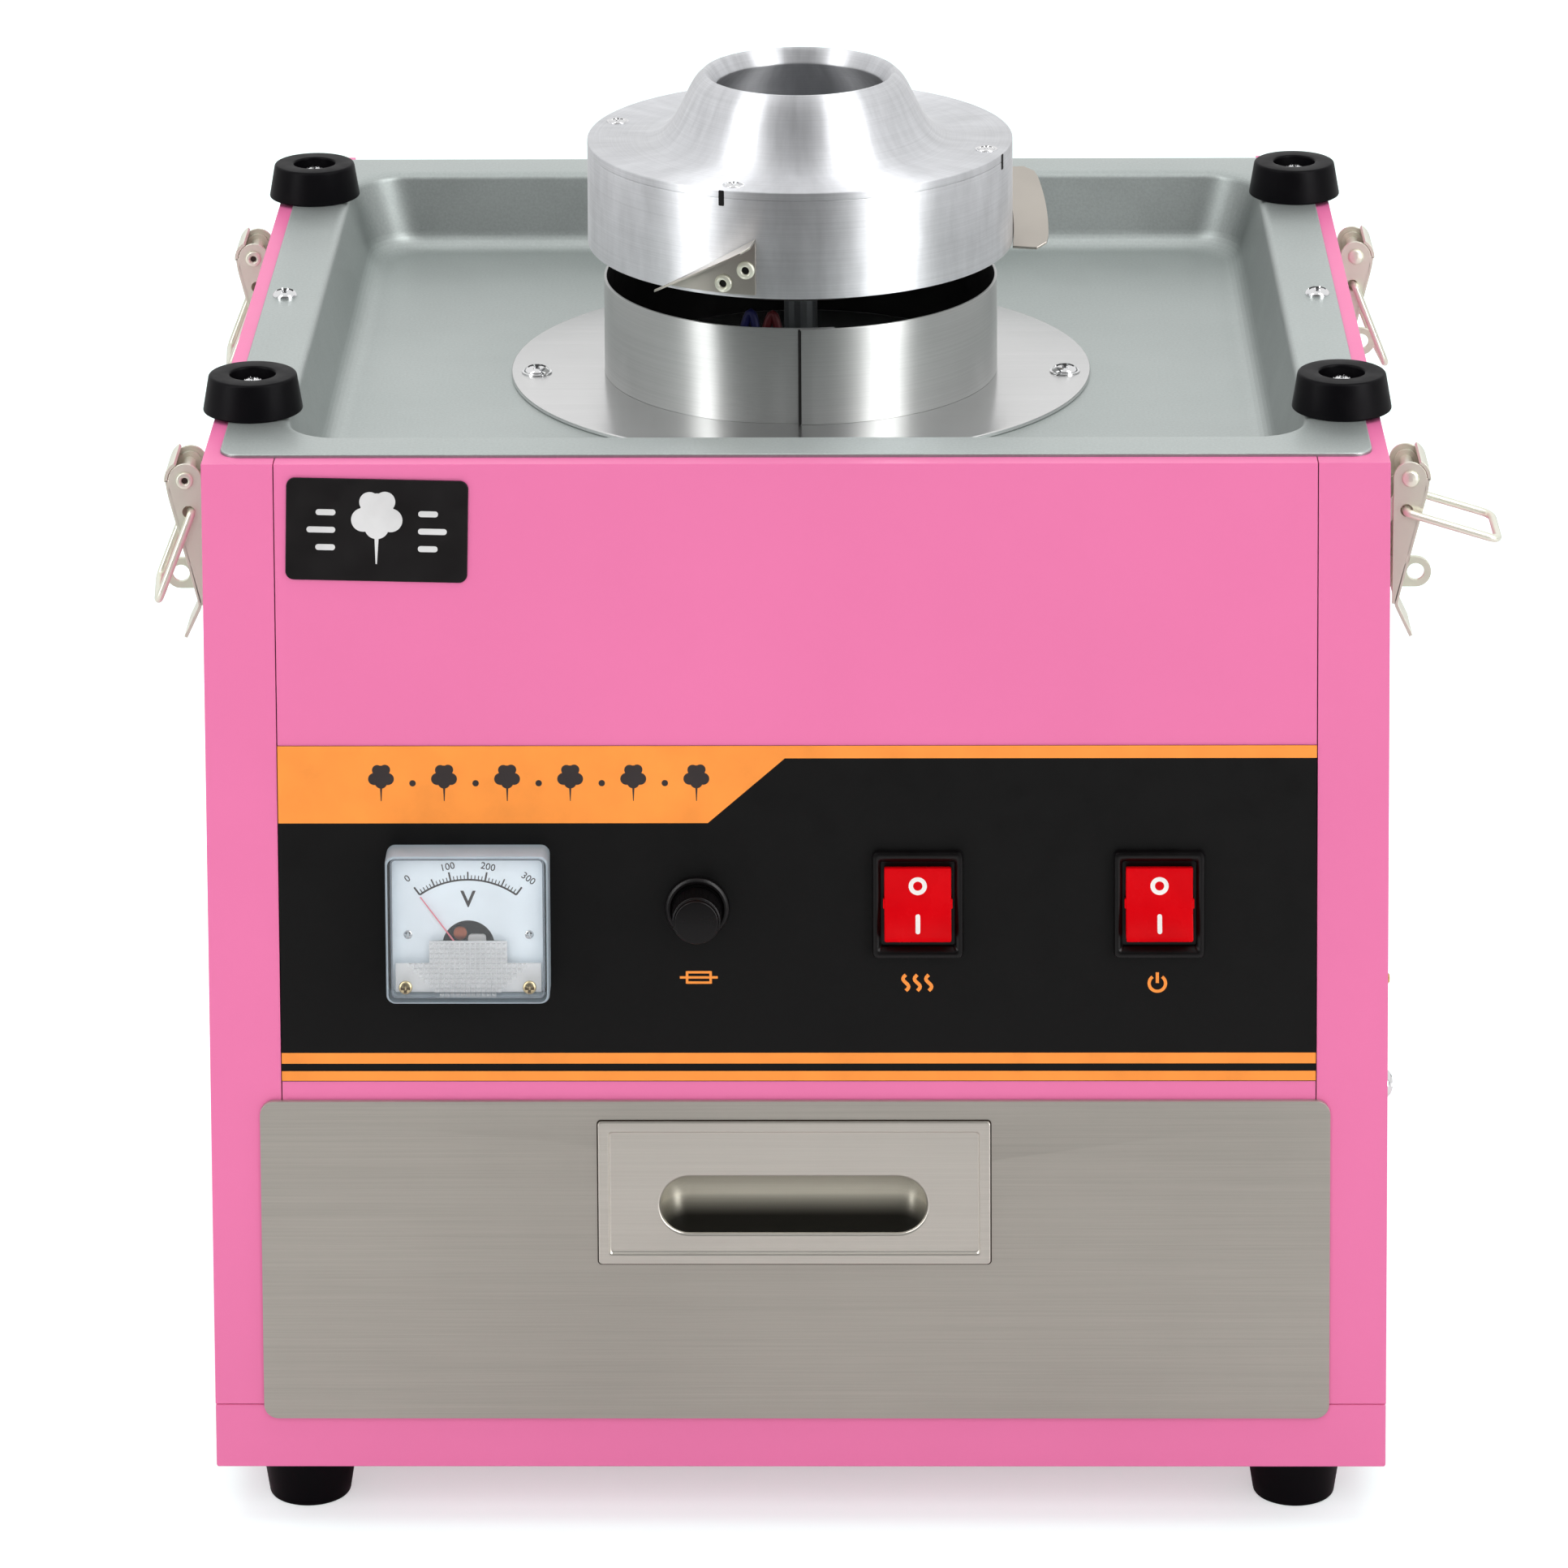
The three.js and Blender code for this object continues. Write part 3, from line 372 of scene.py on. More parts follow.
def put(tree, kind, settings=None, **inputs):
    """A node with its inputs, by name or as i and a number, set to values or linked from sockets."""
    node = tree.nodes.new("ShaderNode" + kind)
    for key, value in (settings or {}).items():
        setattr(node, key, value)
    for key, value in inputs.items():
        socket = node.inputs[int(key[1:]) if key[1:].isdigit() else key]
        if isinstance(value, bpy.types.NodeSocket):
            tree.links.new(value, socket)
        else:
            socket.default_value = value
    return node


def spread(tree, value, low, high, start=0.3, end=0.7):
    """A value's run from start to end, as a run from low to high."""
    limits = {"From Min": start, "From Max": end, "To Min": low, "To Max": high}
    return put(tree, "MapRange", Value=value, **limits).outputs[0]


class Finish:
    """A principled material of one screen colour, and the nodes that give it grain."""

    def __init__(self, name, colour, **inputs):
        self.material = bpy.data.materials.new(name)
        self.material.use_nodes = True
        self.tree = self.material.node_tree
        self.links = self.tree.links
        self.shader = self.tree.nodes["Principled BSDF"]
        self.colour = srgb(colour)
        self.shader.inputs["Base Color"].default_value = self.colour
        for key, value in inputs.items():
            self.shader.inputs[key.replace("_", " ").title().replace("Ior", "IOR")].default_value = value
        self.place = self.put("TexCoord").outputs["Object"]
        self.last_bump = None

    def put(self, kind, settings=None, **inputs):
        return put(self.tree, kind, settings, **inputs)

    def facing(self):
        """The X, Y and Z of the way a surface faces, as outputs."""
        return self.put("SeparateXYZ", Vector=self.put("NewGeometry").outputs["True Normal"]).outputs

    def round_place(self):
        """Coordinates that run with a turned surface: radius, height and a little of the angle."""
        parts = self.put("SeparateXYZ", Vector=self.place)
        x, y, z = (parts.outputs[k] for k in "XYZ")
        square = self.put("Math", {"operation": "MULTIPLY"}, i0=x, i1=x).outputs[0]
        other = self.put("Math", {"operation": "MULTIPLY_ADD"}, i0=y, i1=y, i2=square).outputs[0]
        radius = self.put("Math", {"operation": "SQRT"}, i0=other).outputs[0]
        turn = self.put("Math", {"operation": "ARCTAN2"}, i0=y, i1=x).outputs[0]
        return self.put("CombineXYZ", X=radius, Y=turn, Z=z).outputs[0]

    def noise(self, scale, place=None, detail=3.0, roughness=0.55):
        """Noise from 0 to 1; scale is in cycles per metre, once or for each axis."""
        scales = Vector(scale if isinstance(scale, tuple) else (scale,) * 3)
        stretched = self.put("Mapping", Vector=place or self.place, Scale=scales).outputs[0]
        noise = self.put("TexNoise", Vector=stretched, Scale=1.0, Detail=detail, Roughness=roughness)
        return noise.outputs[0]

    def vary(self, value, darker, lighter, start=0.3, end=0.7):
        """Scales the base colour between two factors, as a value runs from start to end."""
        factor = spread(self.tree, value, darker, lighter, start, end)
        base = self.shader.inputs["Base Color"]
        mix = self.put("VectorMath", {"operation": "SCALE"}, Scale=factor)
        if base.is_linked:
            self.links.new(base.links[0].from_socket, mix.inputs[0])
        else:
            mix.inputs[0].default_value = self.colour[:3]
        self.links.new(mix.outputs[0], base)
        return self

    def rough(self, value, low, high):
        self.links.new(spread(self.tree, value, low, high), self.shader.inputs["Roughness"])
        return self

    def bump(self, value, strength, distance):
        """Relief from a value; distance is in millimetres."""
        node = self.put("Bump", Height=value, Strength=strength, Distance=distance * MM)
        if self.last_bump:
            self.links.new(self.last_bump, node.inputs["Normal"])
        self.last_bump = node.outputs[0]
        self.links.new(self.last_bump, self.shader.inputs["Normal"])
        return self

    def grain_along(self, amount, direction=None):
        """Anisotropic highlights, for brushing along a direction or, without one, round the Z axis."""
        quarter_turn = 0.25
        self.shader.inputs["Anisotropic"].default_value = amount
        self.shader.inputs["Anisotropic Rotation"].default_value = quarter_turn
        if direction is None:
            tangent = self.put("Tangent", {"direction_type": "RADIAL", "axis": "Z"}).outputs[0]
        else:
            tangent = self.put("CombineXYZ", **dict(zip("XYZ", direction))).outputs[0]
        self.links.new(tangent, self.shader.inputs["Tangent"])
        return self


def powder_coat():
    """Pink powder coat with a light orange-peel skin."""
    f = Finish("pink_powder_coat", (238, 118, 172), roughness=0.42, specular_ior_level=0.4,
               coat_weight=0.12, coat_roughness=0.25)
    f.vary(f.noise(9), 0.975, 1.02)
    f.bump(f.noise(750, detail=2), 0.10, 0.12)
    return f.rough(f.noise(30), 0.38, 0.46).material


def tray_coat():
    """Satin grey coat with a fine speckle, and painted shade on its walls by the way they face."""
    f = Finish("tray_satin_coat", (180, 187, 185), roughness=0.40, metallic=0.78)
    f.vary(f.noise(1300, detail=4), 0.93, 1.06)
    f.vary(f.noise(14), 0.97, 1.03)
    # Painted shade by facing: the leaning walls darker than the floor, the right-hand wall darkest.
    facing = f.facing()
    f.vary(facing["Z"], 0.66, 1.0, 0.35, 0.97)  # the leaning walls are darker than the floor
    f.vary(facing["X"], 0.8, 1.0, -0.85, -0.3)  # and the wall on the right is the darkest
    f.bump(f.noise(1100, detail=3), 0.22, 0.12)
    return f.rough(f.noise(25), 0.38, 0.48).material


def brushed(name, colour, direction, roughness, streak=0.07, metallic=0.8, shade=None):
    """Sheet stainless steel brushed along one axis; shade is two heights for a painted shade, darkest below
    the first and gone above the second.
    """
    f = Finish(name, colour, roughness=roughness, metallic=metallic)
    fine = tuple(14 if d else 2600 for d in direction)
    broad = tuple(3 if d else 260 for d in direction)
    f.vary(f.noise(fine, detail=5, roughness=0.7), 1 - streak, 1 + streak)
    f.vary(f.noise(broad, detail=3), 1 - streak * 0.35, 1 + streak * 0.35)
    f.vary(f.noise(11), 0.96, 1.04)
    f.bump(f.noise(fine, detail=3), 0.12, 0.05)
    if shade:
        height = f.put("SeparateXYZ", Vector=f.place).outputs["Z"]
        dark, light = (z * MM for z in shade)
        for _ in range(2):  # twice, which squares the factor
            f.vary(height, 0.17, 1.05, dark, light)
        f.shader.inputs["Specular IOR Level"].default_value = 0.1
    return f.grain_along(0.7, direction).material


def turned_metal(name, colour, roughness, marks=0.0):
    """Metal brushed or turned round the Z axis; marks adds radial tool smears on flat rims."""
    streak = 0.06
    f = Finish(name, colour, roughness=roughness, metallic=1.0)
    place = f.round_place()
    f.vary(f.noise((2600, 0.6, 2600), place, detail=4, roughness=0.7), 1 - streak, 1 + streak)
    f.vary(f.noise((20, 1.5, 20), place), 0.96, 1.04)
    f.bump(f.noise((2200, 0.5, 2200), place, detail=3), 0.10, 0.05)
    if marks:
        f.vary(f.noise((60, 11, 60), place, detail=5), 1 - marks, 1 + marks)
    return f.grain_along(0.9).material


def bright_metal(name, colour, roughness, variation=0.05, metallic=1.0):
    """Plated, cast or drawn metal, smooth but for faint patches."""
    f = Finish(name, colour, roughness=roughness, metallic=metallic)
    f.vary(f.noise(40), 1 - variation, 1 + variation)
    f.bump(f.noise(200, detail=0), 0.02, 0.03)
    return f.rough(f.noise(60), roughness * 0.95, roughness * 1.1).material


def moulded(name, colour, roughness, grain=0.06, **inputs):
    """Plastic, rubber, ink or ceramic with a fine skin."""
    f = Finish(name, colour, roughness=roughness, **inputs)
    f.vary(f.noise(60, detail=4), 0.92, 1.08)
    f.bump(f.noise(1600, detail=2), grain, 0.05)
    return f.rough(f.noise(120), roughness * 0.85, roughness * 1.2).material


def clear_plastic():
    """Clear acrylic: mostly see-through, with reflections that grow at a glancing angle."""
    f = Finish("clear_acrylic", (235, 240, 243), roughness=0.05, specular_ior_level=0.5)
    f.bump(f.noise(70), 0.03, 0.1)
    glancing = f.put("LayerWeight", Blend=0.25).outputs["Fresnel"]
    f.links.new(spread(f.tree, glancing, 0.05, 0.3, 0.0, 1.0), f.shader.inputs["Alpha"])
    return f.material


def frosted_plastic():
    """Moulded prisms: the facets that face down carry painted shade and are less clear than the rest."""
    f = Finish("prismatic_acrylic", (240, 242, 244), roughness=0.25)
    upward = f.facing()["Z"]
    # Painted shade on the facets that face down.
    f.vary(upward, 0.10, 1.0, -0.3, -0.1)
    f.vary(f.noise(300), 0.9, 1.1)
    f.links.new(spread(f.tree, upward, 0.58, 0.22, -0.3, -0.1), f.shader.inputs["Alpha"])
    return f.material


PINK = powder_coat()
TRAY_COAT = tray_coat()
DRAWER_STEEL = brushed("brushed_drawer_steel", (176, 172, 164), (1, 0, 0), 0.36)
# The cup's steel, with painted shade low in the recess that lightens upward.
CUP_STEEL = brushed("shaded_pull_cup", (190, 186, 172), (1, 0, 0), 0.42, 0.05, 0.5, (71.9, 77.2))
PULL_STEEL = brushed("brushed_pull_steel", (196, 192, 184), (1, 0, 0), 0.3, 0.05)
BOX_STEEL = brushed("plain_drawer_sheet", (170, 170, 168), (0, 1, 0), 0.4)
DISC_STEEL = brushed("brushed_disc_steel", (214, 214, 214), (1, 0, 0), 0.25, 0.04, 1.0)
SHROUD_STEEL = turned_metal("rolled_shroud_steel", (186, 187, 186), 0.42)
HEAD_ALUMINIUM = turned_metal("turned_aluminium", (222, 223, 226), 0.5, marks=0.08)
NICKEL = bright_metal("nickel_plate", (228, 229, 213), 0.3, 0.03, 0.5)
VANE_STEEL = bright_metal("vane_steel", (186, 180, 172), 0.3)
CHROME = bright_metal("chrome_screw", (225, 225, 226), 0.14)
BRASS = bright_metal("brass", (205, 165, 95), 0.25)
PALE_BRASS = bright_metal("pale_brass_screw", (206, 190, 148), 0.3)
COPPER = bright_metal("copper_coil", (190, 110, 80), 0.35)
GALVANISED = bright_metal("galvanised_sheet", (168, 173, 176), 0.42, 0.10)
HEATER = bright_metal("heater_alloy", (120, 112, 104), 0.45, 0.12)
RUBBER = moulded("bumper_rubber", (10, 9, 12), 0.42, 0.12, specular_ior_level=0.06)
BLACK_PLASTIC = moulded("black_nylon", (6, 4, 5), 0.33, specular_ior_level=0.25)
BLACK_GLOSS = moulded("black_phenolic", (12, 10, 11), 0.3, 0.03, specular_ior_level=0.2)
BADGE_BLACK = moulded("badge_film", (15, 12, 13), 0.45, 0.05, specular_ior_level=0.25)
FILM = moulded("label_film", (10, 10, 10), 0.55, 0.10, specular_ior_level=0.15)
ORANGE_INK = moulded("orange_ink", (255, 152, 60), 0.5, 0.05, specular_ior_level=0.3)
DARK_INK = moulded("dark_ink", (40, 30, 30), 0.5, 0.05)
SILVER_INK = moulded("silver_ink", (214, 214, 214), 0.42, 0.05)
WHITE_INK = moulded("white_ink", (240, 236, 232), 0.45, 0.04)
RED_PLASTIC = moulded("red_polycarbonate", (212, 0, 12), 0.25, 0.02, specular_ior_level=0.06)
NEEDLE_RED = moulded("needle_paint", (234, 128, 146), 0.4, 0.02)
DIAL_WHITE = moulded("dial_card", (234, 244, 251), 0.55, 0.03)
CARD_GREY = moulded("dial_card_shaded", (224, 226, 228), 0.55, 0.03)
CERAMIC = moulded("ceramic_insulator", (44, 38, 34), 0.7, 0.15)
# Near-black painted shade, for the shroud's inside, its seam gap, the rim notches and the rivet bores.
PAINTED_SHADE = moulded("painted_shade_black", (14, 12, 12), 0.6, 0.1, specular_ior_level=0.2)
# Dark painted shade for the gap round the pull and for the bore of a hollow rivet.
HOLLOW_SHADE = moulded("painted_hollow_shade", (46, 38, 32), 0.6, 0.1, specular_ior_level=0.2)
GLASS_TUBE = moulded("fuse_glass", (207, 216, 218), 0.1, 0.02)
RED_WIRE = moulded("red_wire_sleeve", (64, 5, 12), 0.5, specular_ior_level=0.2)
BLUE_WIRE = moulded("blue_wire_sleeve", (10, 13, 60), 0.5, specular_ior_level=0.2)
CLEAR = clear_plastic()
CLEAR_WALL = moulded("acrylic_edge", (184, 200, 210), 0.4, 0.03, alpha=0.75, specular_ior_level=0.2)
EDGE_GREY = moulded("acrylic_edge_line", (112, 122, 134), 0.4, 0.03)
FROSTED = frosted_plastic()


# ---- Cabinet ------------------------------------------------------------------------------------
def cabinet():
    """The CAD nodes that stay as they are, each with its material and softened edges."""
    kept = ((PINK, 0.75, ("left_side_panel", "right_side_panel", "front_panel", "rear_panel", "base_pan")),
            (GALVANISED, 0.4, ("drawer_shelf", "drawer_rail_left", "drawer_rail_right", "motor_bracket",
                               "motor")),
            (GALVANISED, 0.3, ("drive_shaft",)),
            (FILM, 0.0, ("control_label",)),
            (BLACK_PLASTIC, 0.4, ("mains_inlet", "voltmeter_case")),
            (HEATER, 0.2, ("heater_ring",)),
            (CERAMIC, 0.4, ("insulator_disc", "brush_holder")),
            (BRASS, 0.3, ("slip_ring_hub",)),
            (GLASS_TUBE, 0.3, ("fuse_tube",)))
    for material, bevel, nodes in kept:
        for node in nodes:
            dress(node, material, bevel)


def rubber_pad(name, upward):
    """A tapered rubber pad with softened rims, and a recess for its screw in the narrow end."""
    span = Span(name)
    height, hole = span.h, 1.2
    narrow, rounding, recess_r, recess = (12.5, 1.0, 6.5, 4.6) if upward else (11.45, 1.1, 5.5, 7.0)
    rim = [(hole, 0), (span.w / 2, 0, 0.5), (narrow, height, rounding), (recess_r, height, 0.7),
           (recess_r, height - recess, 0.5), (hole, height - recess)]
    if not upward:
        rim = [(r, height - z, *rounded) for r, z, *rounded in rim]
    form = lathe(fillet(rim), 72).at(span.x, span.y, span.z0)
    piece("rubber_" + name, form, RUBBER, "rubber", replaces=name)
    if upward:
        head = screw_head(3.4, 2.8).at(span.x, span.y, span.z1 - recess + 0.7)
    else:
        head = screw_head(3.6, 1.9).moved(shift(span.x, span.y, span.z0 + recess - 0.3) @ spin("X", 180))
    piece("screw_" + name, head, CHROME, "nickel")


def side_pair(name, form, x, y, z):
    """The same chrome fastener on the left and on the right."""
    for side, way in (("left", -1), ("right", 1)):
        piece(f"{name}_{side}", form.at(way * x, y, z), CHROME, "nickel")


def tray():
    """The pressed tray: rolled flange edge, filleted wall and floor, round opening."""
    floor, sheet, opening, flat_r = 270.0, 1.0, 30.0, 70.0
    wall_out, wall_in, level, smaller = 16.8, 23.8, 46, 0.9995
    section = fillet([(0, TRAY.z1 - sheet), (0, TRAY.z1, 0.9), (wall_out, TRAY.z1, 3.2),
                      (wall_in, floor, 8.0), (level, floor)], closed=False, steps=7)
    corners = ((0, 6), (wall_out, 17), (wall_in, 16), (level, 12))

    def corner(inset):
        """The corner's radius at a distance in from the flange's edge."""
        for (a, ra), (b, rb) in zip(corners, corners[1:]):
            if inset <= b:
                return ra + (rb - ra) * (inset - a) / (b - a)

    rings = []
    for inset, z in section:
        outline = round_rect(TRAY.w - 2 * inset, TRAY.d - 2 * inset, corner(inset), 10)
        rings.append([(a, b, z) for a, b in outline])
    spokes = [math.degrees(math.atan2(y, x)) for x, y, _ in rings[-1]]
    for radius in (flat_r, opening):
        rings.append([(a, b, floor) for a, b in arc(radius, spokes)])
    under = [[(x * smaller, y * smaller, z - sheet) for x, y, z in ring] for ring in rings]
    form = loft(rings + under[::-1] + [rings[0]], caps=False)
    piece("pressed_tray", form, TRAY_COAT, "tray_steel", replaces="top_tray", sharp=50)
    side_pair("tray_screw", screw_head(3.7, 2.4), 154.8, 0, TRAY.z1)


def shroud_disc():
    """The disc round the shroud, with its two screws and two rivets."""
    disc = Span("shroud_base_disc")
    low, high, r, hole = disc.z0, disc.z1, disc.w / 2, 30
    form = lathe(fillet([(hole, low), (r, low, 0.4), (r, high, 0.5), (hole, high, 0.3)]), 160)
    piece("shroud_disc", form, DISC_STEEL, "tray_steel", replaces="shroud_base_disc")
    washer = lathe(fillet([(1, 0), (4.6, 0, 0.2), (4.6, 0.5, 0.2), (1, 0.5)]), 48).at(0, 0, -0.05)
    side_pair("disc_screw", screw_head(3.9, 2.3) + washer, 79.0, -6.4, high)
    side_pair("disc_rivet", screw_head(2.6, 1.7), 8.0, -77.5, high)


def shroud_strip():
    """The rolled strip above the disc, its ends overlapping in a seam at the front; its inner faces and the
    seam's end are near-black painted shade.
    """
    strip = Span("shroud_ring")
    outer, wall, steps = strip.w / 2, 0.9, 240
    section = fillet([(0, strip.z0), (0, strip.z1, 0.3), (-wall, strip.z1, 0.3), (-wall, strip.z0)], steps=3)
    first, turn, tuck, step_in = -89.5, 370.0, 26.0, 1.25
    rings = []
    for k in range(steps + 1):
        along = turn * k / steps
        dip = min(1.0, max(0.0, (along - (360 - tuck)) / (tuck - 2)))
        radius = outer - 0.1 - step_in * dip * dip * (3 - 2 * dip)
        rings.append([(*polar(radius + dr, first + along), z) for dr, z in section])
    band = piece("shroud_strip", loft(rings), SHROUD_STEEL, "aluminium", replaces="shroud_ring", sharp=60)
    # The faces that look inward and the end face of the seam take near-black painted shade.
    band.data.materials.append(PAINTED_SHADE)
    for face in band.data.polygons:
        inward = face.normal.xy.dot(face.center.xy.normalized()) < -0.5
        seam_end = len(face.vertices) > 4
        if inward or seam_end:
            face.material_index = 1
    # A near-black bar over the seam: the painted shadow of the gap under the overlapping end.
    gap = bar(0.9, strip.h - 0.4, 0.3, -outer - 0.02, -outer + 1.2, 0.3, strip.z - 0.1)
    piece("shroud_seam", gap, PAINTED_SHADE, "aluminium")
    clip = rect_loft([(1.2, 16.0, 0.4, outer - 1.6), (1.5, 16.4, 0.5, outer - 1.3),
                      (1.5, 16.4, 0.5, outer - 0.9)], 2.2, strip.z1 - 9, 4)
    piece("shroud_clip", clip, NICKEL, "aluminium")


# ---- Spinner ------------------------------------------------------------------------------------
def spinner():
    """The bell-shaped cap on its bowl, with the notches and screws of the rim and the air vanes."""
    cap, bowl = Span("spinner_cap"), Span("spinner_bowl")
    r, low, rim, top = cap.w / 2, cap.z0 + 0.05, cap.z0 + 2.4, cap.z1
    throat, lip, foot = 24.9, 31.0, 46.0
    bell = bezier(((foot, rim), (foot - 9, rim + 0.6), (lip + 4.0, top - 7), (lip, top - 2.2)), 14)
    profile = fillet([(r, low), (r, rim, 0.5), *bell, (lip - 2.4, top, 2.0), (throat + 2.6, top - 0.9, 2.0),
                      (throat, top - 4.6, 0.6), (throat + 2.5, top - 6.4), (lip + 3, top - 12),
                      (foot - 6, low)], steps=5)
    turned = dict(material=HEAD_ALUMINIUM, slot="aluminium", body="spinner", sharp=45)
    piece("head_cap", lathe(profile, 180), replaces="spinner_cap", **turned)

    wall, floor, hole = 2.5, 2.4, 5.3
    section = fillet([(hole, bowl.z0), (r, bowl.z0, 0.7), (r, bowl.z1, 0.25), (r - wall, bowl.z1, 0.25),
                      (r - wall, bowl.z0 + floor, 0.8), (hole, bowl.z0 + floor)])
    piece("head_bowl", lathe(section, 180), replaces="spinner_bowl", **turned)
    # Each notch is a near-black bar on the rim: painted shade standing in for the notch's hollow.
    notch = bar(1.7, 4.6, 0.3, -r - 0.05, -r + 0.8, 0, rim - 2.5)
    for i, azimuth in enumerate((-20.5, 71.0, -175.0)):
        piece(f"rim_notch_{i + 1}", notch.moved(spin("Z", azimuth)), PAINTED_SHADE, "aluminium", "spinner")
    seat = lathe(fillet([(0, -0.3), (3.3, -0.3), (3.3, 0.15, 0.1), (2.8, 0.15, 0.1), (2.6, -0.1),
                         (0, -0.1)]), 40)
    head = seat + screw_head(2.5, 0.85).at(0, 0, -0.05)
    for i, place in enumerate(arc(57.6, (162.8, 251.0, 344.5, 72.0))):
        piece(f"cap_screw_{i + 1}", head.at(*place, rim), CHROME, "nickel", "spinner")
    for i, raised in enumerate((-1.6, 0.0, 0.0)):
        air_vane(i + 1, shift(0, 0, raised) @ spin("Z", 6.3 + 120.0 * i))


def air_vane(number, place):
    """A vane: riveted leg lying on the bowl, folded on its sloping edge into a blade that stands out."""
    r = Span("spinner_bowl").w / 2
    half, rise, low, out, thick, off, columns = 14.0, 16.5, 311.0, 10.7, 0.8, 0.15, 14

    def wrap(v):
        return Vector((*polar(r + off - v.y, math.degrees(v.x / r)), v.z))

    leg, blade = [], []
    for k in range(columns + 1):
        t = k / columns
        x, high = -half + 1 + (2 * half - 1) * t, low + 0.8 + (rise - 1.2) * t
        leg.append([(x, -thick, low + 0.6), (x, -thick, high), (x, 0, high), (x, 0, low + 0.6)])
        turn, z = math.degrees((-half + 2 * half * t) / r), low + rise * t
        reach = out - 3.2 * max(0.0, (abs(2 * t - 1) - 0.78) / 0.22) ** 2
        blade.append([(*polar(r + along, turn), z + up)
                      for along, up in ((0.3, 0.0), (reach, -0.2), (reach, 0.5), (0.3, thick))])
    eyelet = lathe(fillet([(1.15, 0.0), (1.15, 0.9, 0.2), (1.7, 1.25, 0.3), (2.6, 0.75, 0.4), (2.7, 0)],
                          steps=3), 32)
    # A near-black disc inside each rivet's eyelet: painted shade of its bore.
    bore = lathe([(0, 0.1), (1.2, 0.1), (1.2, 0.3), (0, 0.3)], 24)
    rivets, bores = Form(), Form()
    for x, z in ((4.5, low + 3.6), (11.2, low + 8.0)):
        lay = spin("Z", math.degrees(x / r)) @ shift(r + off + thick, 0, z) @ spin("Y", 90)
        rivets = rivets + eyelet.moved(lay)
        bores = bores + bore.moved(lay)
    body = (loft(leg).bent(wrap) + loft(blade)).moved(place)
    piece(f"vane_{number}", body, VANE_STEEL, "nickel", "spinner", f"air_vane_{number}", 0.15)
    piece(f"vane_rivets_{number}", rivets.moved(place), NICKEL, "nickel", "spinner")
    piece(f"vane_rivet_bores_{number}", bores.moved(place), PAINTED_SHADE, "nickel", "spinner")


def leads():
    """The brush leads that show in the gap under the head."""
    for name, material, start in (("lead_red", RED_WIRE, -104.0), ("lead_blue", BLUE_WIRE, -112.0)):
        path = []
        for k in range(15):
            share = k / 14
            arch = math.sin(math.pi * share)
            path.append((*polar(50 - 3 * arch, start + 9 * share), 285 + 16 * arch))
        piece(name, tube(path, 1.3, 12), material, "black_plastic")


# ---- Drawer -------------------------------------------------------------------------------------
def grip(w, h):
    """A round-ended outline about the middle of the pull's long opening."""
    return round_rect(w, h, h / 2, 16, -1.5, 78.0)


def drawer_front():
    front = Span("drawer_front")
    outline = round_rect(front.w, front.h, 4.0, 8, front.x, front.z)
    form = plate(outline, front.y0, front.y0 + 1.5, [grip(77.4, 19.0)])
    piece("drawer_face", form, DRAWER_STEEL, "drawer_steel", "drawer", "drawer_front", 0.35)


def drawer_tub():
    """The folded box behind the front, cut open behind the pull."""
    box, wall = Span("drawer_box"), 1.2
    rings = []
    for inset, z in ((3.0, box.z0), (0.8, box.z0 + 0.3), (0, box.z0 + 2), (0, box.z1 - 0.4), (0.4, box.z1),
                     (wall - 0.3, box.z1), (wall, box.z1 - 0.4), (wall, box.z0 + 3),
                     (wall + 1, box.z0 + 1.6), (wall + 3, box.z0 + wall)):
        outline = round_rect(box.w - 2 * inset, box.d - 2 * inset, 3.0, 6)
        rings.append([(x, box.y + y, z) for x, y in outline])
    tub = piece("drawer_tub", loft(rings), BOX_STEEL, "galvanised", "drawer", "drawer_box", sharp=50)
    cut_from(tub, plate(grip(78.2, 19.8), box.y0 - 2, box.y0 + wall + 2))


